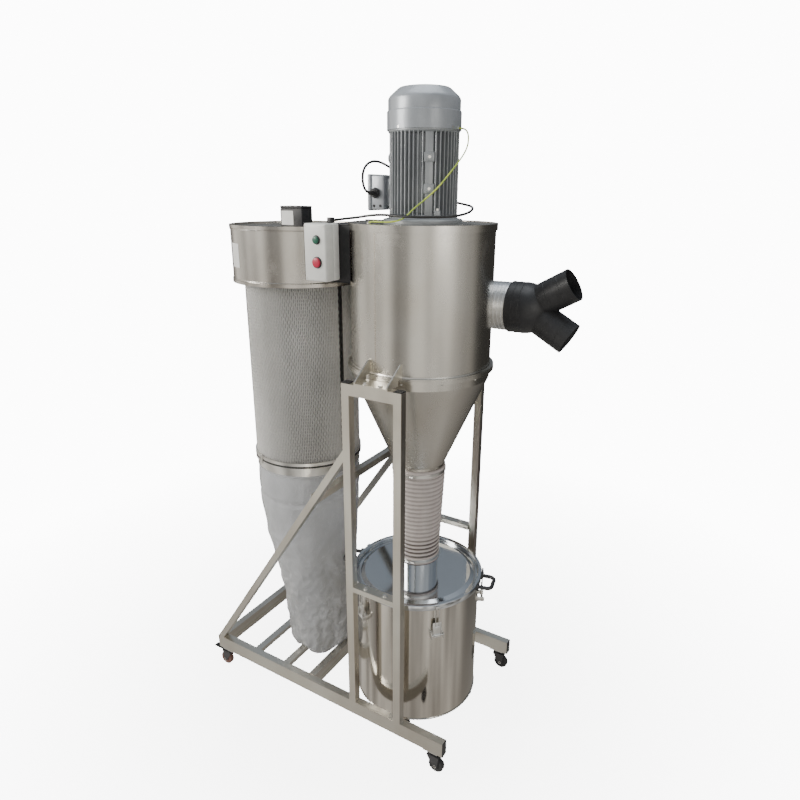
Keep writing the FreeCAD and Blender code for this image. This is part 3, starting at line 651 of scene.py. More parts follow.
def rod(
    mesh: bmesh.types.BMesh, start: Point, end: Point, radius: float, sides: int = 24,
    end_radius: float | None = None,
) -> list[bmesh.types.BMVert]:
    """Adds a round bar or a cone between two points.

    Args:
        mesh: The mesh that it is added to.
        start: The centre of its foot.
        end: The centre of its top.
        radius: The foot's radius.
        sides: The number of sides.
        end_radius: The top's radius, where it differs.

    Returns:
        The bar's vertices.
    """
    foot, top = Vector(start), Vector(end)
    place = Matrix.Translation((foot + top) / 2) @ upright(top - foot)
    made = bmesh.ops.create_cone(
        mesh, cap_ends=True, cap_tris=False, segments=sides, radius1=radius,
        radius2=radius if end_radius is None else end_radius, depth=(top - foot).length, matrix=place,
    )
    return made["verts"]


def sweep(
    mesh: bmesh.types.BMesh, path: Sequence[Vector], radius: float, sides: int = 8, closed: bool = False,
) -> None:
    """Adds a round wire along a path by bridging circles.

    Args:
        mesh: The mesh that it is added to.
        path: The wire's middle line.
        radius: The wire's radius.
        sides: The number of sides.
        closed: Whether the path's end joins its start.
    """
    loops = []
    last = len(path) - 1
    for index, point in enumerate(path):
        before = path[index - 1] if index or closed else path[0]
        after = path[(index + 1) % len(path)] if index < last or closed else path[last]
        turn = upright((after - before).normalized())
        ring = bmesh.ops.create_circle(
            mesh, cap_ends=not closed and index in (0, last), segments=sides, radius=radius,
            matrix=Matrix.Translation(point) @ turn,
        )["verts"]
        loops.append(edges_of(ring))
    pairs = list(zip(loops, loops[1:])) + ([(loops[-1], loops[0])] if closed else [])
    for one, two in pairs:
        bmesh.ops.bridge_loops(mesh, edges=one + two)


def hoop(
    mesh: bmesh.types.BMesh, centre: Point, radius: float, wire: float, steps: int, sides: int = 8,
    way: Point = (0, 0, 1),
) -> None:
    """Adds a closed round bead.

    Args:
        mesh: The mesh that it is added to.
        centre: The bead's centre.
        radius: The radius of its middle line.
        wire: The bead's own radius.
        steps: The number of rings along it.
        sides: The number of sides that each ring has.
        way: Its axis.
    """
    turn = upright(Vector(way))
    path = [
        Vector(centre) + turn @ Vector((radius * math.cos(angle), radius * math.sin(angle), 0))
        for angle in (2 * math.pi * index / steps for index in range(steps))
    ]
    sweep(mesh, path, wire, sides, closed=True)


def bolt(mesh: bmesh.types.BMesh, foot: Point, direction: Point, across: float, height: float) -> None:
    """Adds a hexagon head on a washer.

    Args:
        mesh: The mesh that it is added to.
        foot: Where the washer lies.
        direction: The way that the head points.
        across: The head's width.
        height: The head's height.
    """
    base, way = Vector(foot), Vector(direction).normalized()
    washer = 0.18 * height
    rod(mesh, base, base + way * washer, across * 0.72, 20)
    rod(mesh, base + way * washer, base + way * (washer + height), across * 0.58, 6)
    rod(mesh, base + way * (washer + height), base + way * (height * 1.3), across * 0.3, 14)


def of_kind(parts: Iterable[object], kind: type) -> list:
    """The vertices, edges or faces among an operator's results."""
    return [part for part in parts if isinstance(part, kind)]


def turned_copies(mesh: bmesh.types.BMesh, count: int, centre: Point) -> None:
    """Repeats everything in a mesh about an upright axis.

    Args:
        mesh: The mesh.
        count: How many there are in the end.
        centre: A point on the axis.
    """
    source = list(mesh.verts) + list(mesh.edges) + list(mesh.faces)
    for index in range(1, count):
        made = bmesh.ops.duplicate(mesh, geom=source)["geom"]
        turn = Matrix.Rotation(2 * math.pi * index / count, 3, "Z")
        bmesh.ops.rotate(mesh, verts=of_kind(made, bmesh.types.BMVert), cent=centre, matrix=turn)


def swing(
    mesh: bmesh.types.BMesh, degrees: float, centre: Point,
    vertices: Iterable[bmesh.types.BMVert] | None = None,
) -> None:
    """Turns a mesh about an upright axis.

    Args:
        mesh: The mesh.
        degrees: The turn.
        centre: A point on the axis.
        vertices: What is turned, where it isn't everything.
    """
    turn = Matrix.Rotation(math.radians(degrees), 3, "Z")
    moved = list(mesh.verts if vertices is None else set(vertices))
    bmesh.ops.rotate(mesh, verts=moved, cent=centre, matrix=turn)


def tip_over(
    mesh: bmesh.types.BMesh, quarters: int, place: Point,
    vertices: Iterable[bmesh.types.BMVert] | None = None,
) -> None:
    """Turns what was made at the origin about X, and moves it to its place.

    Args:
        mesh: The mesh.
        quarters: The quarter turns, 1 or -1.
        place: Where the origin goes.
        vertices: What is moved, where it isn't everything.
    """
    moved = list(mesh.verts if vertices is None else vertices)
    turn = Matrix.Rotation(quarters * math.pi / 2, 3, "X")
    bmesh.ops.rotate(mesh, verts=moved, cent=(0, 0, 0), matrix=turn)
    bmesh.ops.translate(mesh, verts=moved, vec=place)


@dataclass
class Bench:
    """Turns meshes into finished pieces that ride on their bodies."""

    finishes: Finishes
    made: list[str] = field(default_factory=list)

    def piece(
        self, mesh: bmesh.types.BMesh, name: str, finish: bpy.types.Material, slot: str,
        body: str = ROOT, stands_for: Iterable[str] = (), sharp: float = 32.0,
    ) -> bpy.types.Object:
        """Finishes a mesh as a piece.

        Args:
            mesh: The mesh, which is used up.
            name: The piece's name.
            finish: Its material.
            slot: The name of a material slot, passed on to enter.
            body: The body that it rides on.
            stands_for: The CAD nodes that it replaces.
            sharp: The angle past which an edge stays sharp, in degrees.

        Returns:
            The piece.
        """
        bmesh.ops.remove_doubles(mesh, verts=list(mesh.verts), dist=1e-6)
        bmesh.ops.dissolve_degenerate(mesh, edges=list(mesh.edges), dist=1e-7)
        bmesh.ops.recalc_face_normals(mesh, faces=list(mesh.faces))
        data = bpy.data.meshes.new(name)
        mesh.to_mesh(data)
        mesh.free()
        data.shade_smooth()
        data.set_sharp_from_angle(angle=math.radians(sharp))
        data.materials.append(finish)
        return self.enter(data, name, slot, body, *stands_for)

    def enter(
        self, data: bpy.types.Mesh | bpy.types.Curve, name: str, slot: str, body: str, *nodes: str,
    ) -> bpy.types.Object:
        """Enters a piece in the scene and in the bench's list of made pieces.

        Args:
            data: The piece's mesh or curve.
            name: Its name.
            slot: Not used.
            body: The body that it rides on.
            nodes: The CAD nodes that it replaces.

        Returns:
            The piece.
        """
        made = bpy.data.objects.new(name, data)
        bpy.context.scene.collection.objects.link(made)
        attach(made, body)
        if nodes:
            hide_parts(*nodes)
        self.made.append(name)
        return made

    def dress(self, finish: bpy.types.Material, *nodes: str) -> None:
        """Gives CAD nodes their finish.

        Args:
            finish: The material.
            nodes: The nodes' names.
        """
        for node in nodes:
            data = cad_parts[node].data
            data.materials.clear()
            data.materials.append(finish)


def corners(node: str) -> tuple[Vector, Vector]:
    """The lowest and the highest corner of a CAD node's box."""
    low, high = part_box(node)
    return Vector(low), Vector(high)


def middle(node: str) -> Vector:
    """The middle of a CAD node's box."""
    low, high = corners(node)
    return (low + high) / 2


# --- frame and casters -------------------------------------------------------------------------------


@dataclass
class TubeFrame:
    """The welded frame of rectangular tube: finishes, weld beads and bolts."""

    bench: Bench
    bead: float = 2.2 * MM
    bolt_across: float = 13 * MM
    bolt_height: float = 5 * MM
    bolt_spread: float = 42 * MM

    def build(self) -> None:
        """Dresses the tubes, then adds the beads and the bolts."""
        finishes = self.bench.finishes
        self.bench.dress(finishes.tube_x, "base_rail_near", "base_rail_far", "top_beams", "mid_beams")
        self.bench.dress(
            finishes.tube_y, "base_rail_left", "base_rail_middle", "bag_slats", "brace_bar",
            "cyclone_brackets",
        )
        posts = [f"post_{side}_{hand}" for side in ("near", "far") for hand in ("left", "right")]
        self.bench.dress(finishes.tube_z, *posts, "braces")
        self.bench.dress(finishes.black, "end_caps")
        self.beads(posts)
        self.bolts()

    def beads(self, posts: Sequence[str]) -> None:
        """Adds weld beads round the posts' feet and the cross rails' ends.

        Args:
            posts: The posts' nodes.
        """
        mesh = bmesh.new()
        for node in posts:
            low, high = corners(node)
            for side in (low.x, high.x):
                self.bead_line(mesh, Vector((side, low.y, low.z)), Vector((side, high.y, low.z)))
        for node in ("base_rail_left", "base_rail_middle"):
            low, high = corners(node)
            for y in (low.y, high.y):
                self.bead_line(mesh, Vector((low.x, y, high.z)), Vector((high.x, y, high.z)))
                if node == "base_rail_middle":
                    self.bead_line(mesh, Vector((low.x, y, low.z)), Vector((low.x, y, high.z)))
                self.bead_line(mesh, Vector((high.x, y, low.z)), Vector((high.x, y, high.z)))
        low, high = corners("brace_bar")
        for y in (low.y, high.y):
            self.bead_line(mesh, Vector((high.x, y, low.z)), Vector((high.x, y, high.z)))
        self.bench.piece(mesh, "weld_beads", self.bench.finishes.weld, "frame_steel")

    def bead_line(self, mesh: bmesh.types.BMesh, start: Vector, end: Vector) -> None:
        """Adds one bead: a row of overlapping scales.

        Args:
            mesh: The mesh that it is added to.
            start: Where the bead starts.
            end: Where it ends.
        """
        count = max(3, round((end - start).length / (1.5 * self.bead)))
        for index in range(count):
            point = start.lerp(end, (index + 0.5) / count)
            size = self.bead * (1 + 0.25 * noise.noise(point * 300))
            bmesh.ops.create_icosphere(mesh, subdivisions=1, radius=size, matrix=Matrix.Translation(point))

    def bolts(self) -> None:
        """Adds two bolts on each mid beam and on each bracket's foot."""
        mesh = bmesh.new()
        centre = middle("cyclone_lid")
        low, high = corners("mid_beams")
        depth = 18.5 * MM
        for y in (low.y + depth, high.y - depth):
            for shift in (-self.bolt_spread, self.bolt_spread):
                bolt(mesh, (centre.x + shift, y, high.z), (0, 0, 1), self.bolt_across, self.bolt_height)
        low, high = corners("cyclone_brackets")
        foot = low.z + 5 * MM
        inset = 15 * MM
        for y in (low.y + inset, high.y - inset):
            for shift in (-self.bolt_spread * 0.7, self.bolt_spread * 0.7):
                bolt(mesh, (centre.x + shift, y, foot), (0, 0, 1), self.bolt_across, self.bolt_height)
        self.bench.piece(mesh, "frame_bolts", self.bench.finishes.zinc, "zinc")


@dataclass
class Caster:
    """One swivel caster: its wheel, its axle nuts and the ribs on its pedal."""

    bench: Bench
    name: str
    hub_share: float = 0.55
    face_dip: float = 2 * MM
    bore: float = 4.05 * MM
    crown: float = 4 * MM

    def build(self) -> None:
        """Makes the wheel and what sits on the fork."""
        self.wheel()
        self.fittings()
        self.bench.dress(self.bench.finishes.fork, f"caster_fork_{self.name}")

    def wheel(self) -> None:
        """A moulded wheel: a rounded tread on a dished hub, about a level axle."""
        node = f"caster_wheel_{self.name}"
        low, high = corners(node)
        centre = (low + high) / 2
        radius, half = (high.z - low.z) / 2, (high.y - low.y) / 2
        hub = radius * self.hub_share
        crown = self.crown
        side = [
            (self.bore, half), (hub * 0.5, half), (hub * 0.62, half - self.face_dip),
            (hub, half - self.face_dip), (hub * 1.12, half), (radius - crown, half),
            (radius - crown * 0.35, half - crown * 0.3), (radius, half - crown),
        ]
        outline = side + [(away, -across) for away, across in reversed(side)]
        mesh = bmesh.new()
        lathe(mesh, outline, (0, 0, 0), 48)
        tip_over(mesh, 1, centre)
        finish = self.bench.finishes.tread if self.name == "near_left" else self.bench.finishes.rubber
        self.bench.piece(mesh, f"wheel_{self.name}", finish, "wheel_rubber", f"wheel_{self.name}", [node])

    def fittings(self) -> None:
        """Nuts on the axle and, on a braked caster, the pedal's ribs."""
        wheel = middle(f"caster_wheel_{self.name}")
        low, high = corners(f"caster_fork_{self.name}")
        mesh = bmesh.new()
        for side in (low.y, high.y):
            way = 1 if side > wheel.y else -1
            inner = side - way * 3 * MM
            rod(mesh, (wheel.x, inner, wheel.z), (wheel.x, side, wheel.z), 6.5 * MM, 6)
        self.bench.piece(
            mesh, f"axle_nuts_{self.name}", self.bench.finishes.zinc, "zinc", f"swivel_{self.name}",
        )
        if not self.name.endswith("left"):
            return
        ribs = bmesh.new()
        for index in range(5):
            x = low.x + (3 + 6 * index) * MM
            box(
                ribs, (x, wheel.y - 9 * MM, high.z - 10 * MM),
                (x + 3 * MM, wheel.y + 9 * MM, high.z - 7.4 * MM), 0.6 * MM,
            )
        self.bench.piece(
            ribs, f"pedal_ribs_{self.name}", self.bench.finishes.fork, "fork_paint", f"swivel_{self.name}",
        )


# --- cyclone, hose and barrel ------------------------------------------------------------------------


@dataclass
class Cyclone:
    """The steel cyclone: finishes, the welded seam, the foot ring and the flange's screws."""

    bench: Bench
    seam_width: float = 5 * MM
    seam_height: float = 0.5 * MM
    seam_angle: float = -98.0

    def build(self) -> None:
        """Dresses the shells and adds their details."""
        finishes = self.bench.finishes
        self.bench.dress(
            finishes.sheet, "cyclone_cylinder", "cyclone_cone", "cyclone_flange", "cyclone_lid",
        )
        self.bench.dress(finishes.foil, "inlet_tube")
        self.seam()
        self.foot_ring()
        self.bolts()

    def seam(self) -> None:
        """The flat weld up the cylinder."""
        centre = middle("cyclone_lid")
        low, high = corners("cyclone_cylinder")
        radius = (high.y - low.y) / 2
        mesh = bmesh.new()
        rows = 60
        for index in range(rows):
            bottom = low.z + 4 * MM + (high.z - low.z - 22 * MM) * index / rows
            box(
                mesh, (centre.x + radius - 0.3 * MM, -self.seam_width / 2, bottom),
                (centre.x + radius + self.seam_height, self.seam_width / 2, bottom + 6.4 * MM), 0.25 * MM, 1,
            )
        swing(mesh, self.seam_angle, (centre.x, 0, 0))
        self.bench.piece(mesh, "cylinder_seam", self.bench.finishes.weld, "cyclone_steel")

    def foot_ring(self) -> None:
        """The doubled ring where the cylinder's foot stands on the flange."""
        low, high = corners("cyclone_flange")
        centre = (low + high) / 2
        radius = (high.y - low.y) / 2
        mesh = bmesh.new()
        lathe(mesh, [
            (radius - 13.5 * MM, high.z + 0.05 * MM), (radius - 1.5 * MM, high.z + 0.05 * MM),
            (radius - 1.5 * MM, high.z + 2.4 * MM), (radius - 13.5 * MM, high.z + 2.4 * MM),
        ], (centre.x, centre.y, 0), 128)
        lathe(mesh, [
            (radius - 13.5 * MM, high.z + 2.5 * MM), (radius - 0.5 * MM, high.z + 2.5 * MM),
            (radius - 0.5 * MM, high.z + 5.2 * MM), (radius - 12 * MM, high.z + 5.2 * MM),
            (radius - 13.5 * MM, high.z + 9 * MM),
        ], (centre.x, centre.y, 0), 128)
        self.bench.piece(mesh, "cylinder_foot_ring", self.bench.finishes.sheet, "cyclone_steel")

    def bolts(self) -> None:
        """Screws round the flange, from below."""
        low, high = corners("cyclone_flange")
        centre = (low + high) / 2
        radius = (high.y - low.y) / 2 - 7 * MM
        mesh = bmesh.new()
        bolt(mesh, (centre.x + radius, 0, low.z), (0, 0, -1), 8 * MM, 3.5 * MM)
        turned_copies(mesh, 12, (centre.x, 0, 0))
        swing(mesh, 15, (centre.x, 0, 0))
        self.bench.piece(mesh, "flange_screws", self.bench.finishes.zinc, "zinc")


@dataclass
class RibbedHose:
    """The ribbed hose under the cone, and the clip at each of its ends."""

    bench: Bench
    pitch: float = 17.5 * MM
    depth: float = 5 * MM
    steps_in_rib: int = 6
    overlap: float = 45 * MM
    narrow: float = 86.2 * MM
    wide: float = 102.2 * MM
    thickness: float = 4 * MM
    dark_height: float = 100 * MM
    clip_height: float = 12 * MM

    def build(self) -> None:
        """Makes the hose's wall and the clips."""
        low, high = corners("dust_hose")
        centre = (low + high) / 2
        band_low, band_high = corners("hose_bands")
        self.clips(centre, band_low.z, band_high.z)
        self.wall(centre, low.z, high.z)

    def radius(self, height: float, foot: float, top: float) -> float:
        """The ribs' radius at a height.

        Args:
            height: The height.
            foot: The height of the hose's lower end.
            top: The height of its upper end.

        Returns:
            The radius, which grows from the spigot's size to the cone's.
        """
        share = (height - foot - self.overlap) / (top - foot - 2 * self.overlap)
        return self.narrow + (self.wide - self.narrow) * min(1.0, max(0.0, share))

    def wall(self, centre: Vector, foot: float, top: float) -> None:
        """Turns the ribbed wall.

        Args:
            centre: The hose's middle.
            foot: The height of its lower end.
            top: The height of its upper end.
        """
        ribs = round((top - foot) / self.pitch)
        count = ribs * self.steps_in_rib
        outline = []
        for index in range(count + 1):
            height = foot + (top - foot) * index / count
            rib = 0.5 - 0.5 * math.cos(2 * math.pi * index / self.steps_in_rib)
            free = min(1.0, max(0.12, (min(height - foot, top - height) - 0.4 * self.overlap) / (20 * MM)))
            outline.append((self.radius(height, foot, top) - self.depth * (1 - rib) * free, height))
        inside = [
            (self.radius(height, foot, top) - self.thickness - (0 if end else self.depth), height)
            for height, end in (
                (top, True), (top - self.overlap, False), (foot + self.overlap, False), (foot, True),
            )
        ]
        mesh = bmesh.new()
        lathe(mesh, outline + inside, (centre.x, centre.y, 0), 72)
        # The third colour, (0.12, 0.095, 0.085), is the painted shade in the grooves.
        finish = Ribs(
            "hose_wall", (0.62, 0.56, 0.53), (0.12, 0.095, 0.085), (top - foot) / ribs, foot,
            foot + self.dark_height,
        ).make()
        self.bench.piece(mesh, "ribbed_hose", finish, "hose_plastic", stands_for=["dust_hose"], sharp=70)

    def clips(self, centre: Vector, foot: float, top: float) -> None:
        """Makes a band with a screw housing round each end of the hose.

        Args:
            centre: The hose's middle.
            foot: The height of the lower band's foot.
            top: The height of the upper band's top.
        """
        height = self.clip_height
        mesh = bmesh.new()
        for low, wall in ((foot, self.narrow), (top - height, self.wide)):
            radius = wall + 2.2 * MM
            lathe(mesh, [
                (radius - 2 * MM, low), (radius - 0.4 * MM, low), (radius, low + 0.8 * MM),
                (radius - 0.8 * MM, low + height / 2), (radius, low + height - 0.8 * MM),
                (radius - 0.4 * MM, low + height), (radius - 2 * MM, low + height),
            ], (centre.x, centre.y, 0), 96)
            near = centre.y - radius
            x = centre.x + 12 * MM
            box(
                mesh, (x - 16 * MM, near - 7 * MM, low - 1 * MM),
                (x + 10 * MM, near + 3 * MM, low + height + 1 * MM), 1.2 * MM,
            )
            rod(
                mesh, (x + 8 * MM, near - 3.5 * MM, low + height / 2),
                (x + 24 * MM, near - 3.5 * MM, low + height / 2), 4 * MM, 6,
            )
        self.bench.piece(mesh, "hose_clips", self.bench.finishes.zinc, "zinc", stands_for=["hose_bands"])


@dataclass
class Barrel:
    """The dust barrel: polished shells, latches, handles and small casters."""

    bench: Bench
    latches: int = 5
    latch_angle: float = -44.0
    wall: float = 250 * MM
    lever_gap: float = 14 * MM
    handle_reach: float = 50 * MM
    handle_half: float = 40 * MM
    handle_corner: float = 20 * MM
    handle_bar: float = 7.8 * MM
    handle_angle: float = 12.0
    caster_reach: float = 220 * MM
    caster_radius: float = 25 * MM
    caster_angle: float = 20.0

    def build(self) -> None:
        """Dresses the shells and builds what is on them."""
        finishes = self.bench.finishes
        self.bench.dress(finishes.barrel, "barrel_body", "barrel_floor")
        self.bench.dress(finishes.polished, "barrel_lid")
        self.rims()
        self.handles()
        self.latch_bases()
        for index in range(self.latches):
            self.latch(index)
        self.casters()

    def rims(self) -> None:
        """The clamp ring's rolled edges and the barrel's rolled foot."""
        ring_low, ring_high = corners("clamp_ring")
        centre = (ring_low + ring_high) / 2
        edge = (ring_high.y - ring_low.y) / 2
        mesh = bmesh.new()
        low, high = ring_low.z, ring_high.z
        lathe(mesh, [
            (edge - 13 * MM, low), (edge - 3 * MM, low), (edge - 0.8 * MM, low + 2 * MM),
            (edge, low + 6 * MM), (edge, high - 6 * MM), (edge - 0.8 * MM, high - 2 * MM),
            (edge - 3 * MM, high), (edge - 14 * MM, high), (edge - 17 * MM, high - 3 * MM),
            (edge - 17 * MM, high - 9 * MM), (edge - 13.4 * MM, high - 14 * MM),
        ], (centre.x, centre.y, 0), 160)
        self.bench.piece(
            mesh, "rolled_clamp_ring", self.bench.finishes.polished, "polished_lid",
            stands_for=["clamp_ring"],
        )
        low_corner, high_corner = corners("barrel_body")
        radius = (high_corner.y - low_corner.y) / 2
        foot = bmesh.new()
        hoop(foot, (centre.x, 0, low_corner.z + 3.2 * MM), radius + 0.5 * MM, 3 * MM, 120)
        self.bench.piece(foot, "barrel_foot_roll", self.bench.finishes.barrel, "barrel_steel")

    def handles(self) -> None:
        """Two bent-bar handles with flattened feet."""
        low, high = corners("barrel_handles")
        centre = (low + high) / 2
        ring_low, ring_high = corners("clamp_ring")
        ring = (ring_high.y - ring_low.y) / 2
        far = ring + self.handle_reach
        half, corner = self.handle_half, self.handle_corner
        mesh = bmesh.new()
        path = [Vector((ring - 6 * MM, -half, 0)), Vector((far - corner, -half, 0))]
        for index in range(1, 6):
            turn = math.pi / 2 * index / 6
            bend = Vector((corner * math.sin(turn), -corner * math.cos(turn), 0))
            path.append(Vector((far - corner, corner - half, 0)) + bend)
        path += [Vector((far, y, 0)) for y in (-half + corner, 0.0, half - corner)]
        for index in range(5, -1, -1):
            turn = math.pi / 2 * index / 6
            bend = Vector((corner * math.sin(turn), corner * math.cos(turn), 0))
            path.append(Vector((far - corner, half - corner, 0)) + bend)
        path.append(Vector((ring - 6 * MM, half, 0)))
        sweep(mesh, [point + Vector((centre.x, 0, centre.z)) for point in path], self.handle_bar, 14)
        for side in (-half, half):
            box(
                mesh, (centre.x + ring - 8 * MM, side - 12 * MM, centre.z - 12 * MM),
                (centre.x + ring + 4 * MM, side + 12 * MM, centre.z + 12 * MM), 2 * MM,
            )
        turned_copies(mesh, 2, (centre.x, 0, 0))
        swing(mesh, self.handle_angle, (centre.x, 0, 0))
        self.bench.piece(
            mesh, "bar_handles", self.bench.finishes.fork, "fork_paint", stands_for=["barrel_handles"],
        )

    def latch(self, index: int) -> None:
        """One toggle latch: its base plate, and the lever with a bail over the ring.

        Args:
            index: Which latch, from 0.
        """
        centre = middle("barrel_body")
        node = f"latch_lever_{index + 1}"
        angle = self.latch_angle + 360 / self.latches * index
        face = centre.x + self.wall + self.lever_gap
        foot, top = (corner.z for corner in corners(node))
        mesh = bmesh.new()
        box(mesh, (face, -17 * MM, foot), (face + 2.4 * MM, 17 * MM, foot + 62 * MM), 0.9 * MM)
        for side in (-17 * MM, 14.6 * MM):
            box(
                mesh, (face, side, foot + 2 * MM), (face + 7 * MM, side + 2.4 * MM, foot + 40 * MM),
                0.8 * MM,
            )
        box(mesh, (face, -13 * MM, foot - 0.5 * MM), (face + 6 * MM, 13 * MM, foot + 3 * MM), 1 * MM)
        pin = face + 3.5 * MM
        for side in (-7 * MM, 7 * MM):
            rod(mesh, (pin, side, foot + 44 * MM), (pin, side, top - 3 * MM), 1.6 * MM, 10)
        box(mesh, (face, -9 * MM, top - 8 * MM), (face + 7 * MM, 9 * MM, top), 1.2 * MM)
        rod(mesh, (pin, -9 * MM, foot + 44 * MM), (pin, 9 * MM, foot + 44 * MM), 2.2 * MM, 12)
        swing(mesh, angle, (centre.x, 0, 0))
        self.bench.piece(mesh, f"toggle_{index + 1}", self.bench.finishes.zinc, "zinc", node, [node])

    def latch_bases(self) -> None:
        """The riveted base plates with their ears and pins."""
        centre = middle("barrel_body")
        wall = centre.x + self.wall
        foot = corners("latch_bases")[0].z
        mesh = bmesh.new()
        box(mesh, (wall - 1.5 * MM, -25 * MM, foot), (wall + 1.2 * MM, 25 * MM, foot + 20 * MM), 0.5 * MM)
        for side in (-25 * MM, 22.4 * MM):
            ear = (wall + 27 * MM, side + 2.6 * MM, foot + 20 * MM)
            box(mesh, (wall - 1 * MM, side, foot), ear, 1 * MM)
        pin = foot + 10 * MM
        rod(mesh, (wall + 17.5 * MM, -25 * MM, pin), (wall + 17.5 * MM, 25 * MM, pin), 3 * MM, 14)
        for side in (-20 * MM, 20 * MM):
            rod(mesh, (wall + 1 * MM, side, pin), (wall + 2.6 * MM, side, pin), 2.6 * MM, 12, 1.6 * MM)
        turned_copies(mesh, self.latches, (centre.x, 0, 0))
        swing(mesh, self.latch_angle, (centre.x, 0, 0))
        self.bench.piece(mesh, "latch_plates", self.bench.finishes.zinc, "zinc", stands_for=["latch_bases"])

    def casters(self) -> None:
        """Four small casters under the floor."""
        centre = middle("barrel_body")
        plate = corners("barrel_casters")[1].z
        x = centre.x + self.caster_reach
        radius = self.caster_radius
        mesh = bmesh.new()
        box(mesh, (x - 25 * MM, -25 * MM, plate - 3 * MM), (x + 25 * MM, 25 * MM, plate), 0.6 * MM)
        for side in (-14 * MM, 11 * MM):
            box(mesh, (x - 12 * MM, side, 19 * MM), (x + 12 * MM, side + 3 * MM, plate - 3 * MM), 1 * MM)
        rod(mesh, (x, -14 * MM, radius), (x, 14 * MM, radius), 5 * MM, 6)
        before = set(mesh.verts)
        lathe(mesh, [
            (4 * MM, -10 * MM), (14 * MM, -10 * MM), (15 * MM, -8.5 * MM), (18 * MM, -10 * MM),
            (23 * MM, -9 * MM), (radius, -5 * MM), (radius, 5 * MM), (23 * MM, 9 * MM), (18 * MM, 10 * MM),
            (15 * MM, 8.5 * MM), (14 * MM, 10 * MM), (4 * MM, 10 * MM),
        ], (0, 0, 0), 36)
        wheel = [vertex for vertex in mesh.verts if vertex not in before]
        tip_over(mesh, 1, (x, 0, radius), wheel)
        turned_copies(mesh, 4, (centre.x, 0, 0))
        swing(mesh, self.caster_angle, (centre.x, 0, 0))
        self.bench.piece(
            mesh, "small_casters", self.bench.finishes.fork, "black_plastic", stands_for=["barrel_casters"],
        )
        self.bench.dress(self.bench.finishes.zinc, "caster_plates")


# --- motor -------------------------------------------------------------------------------------------


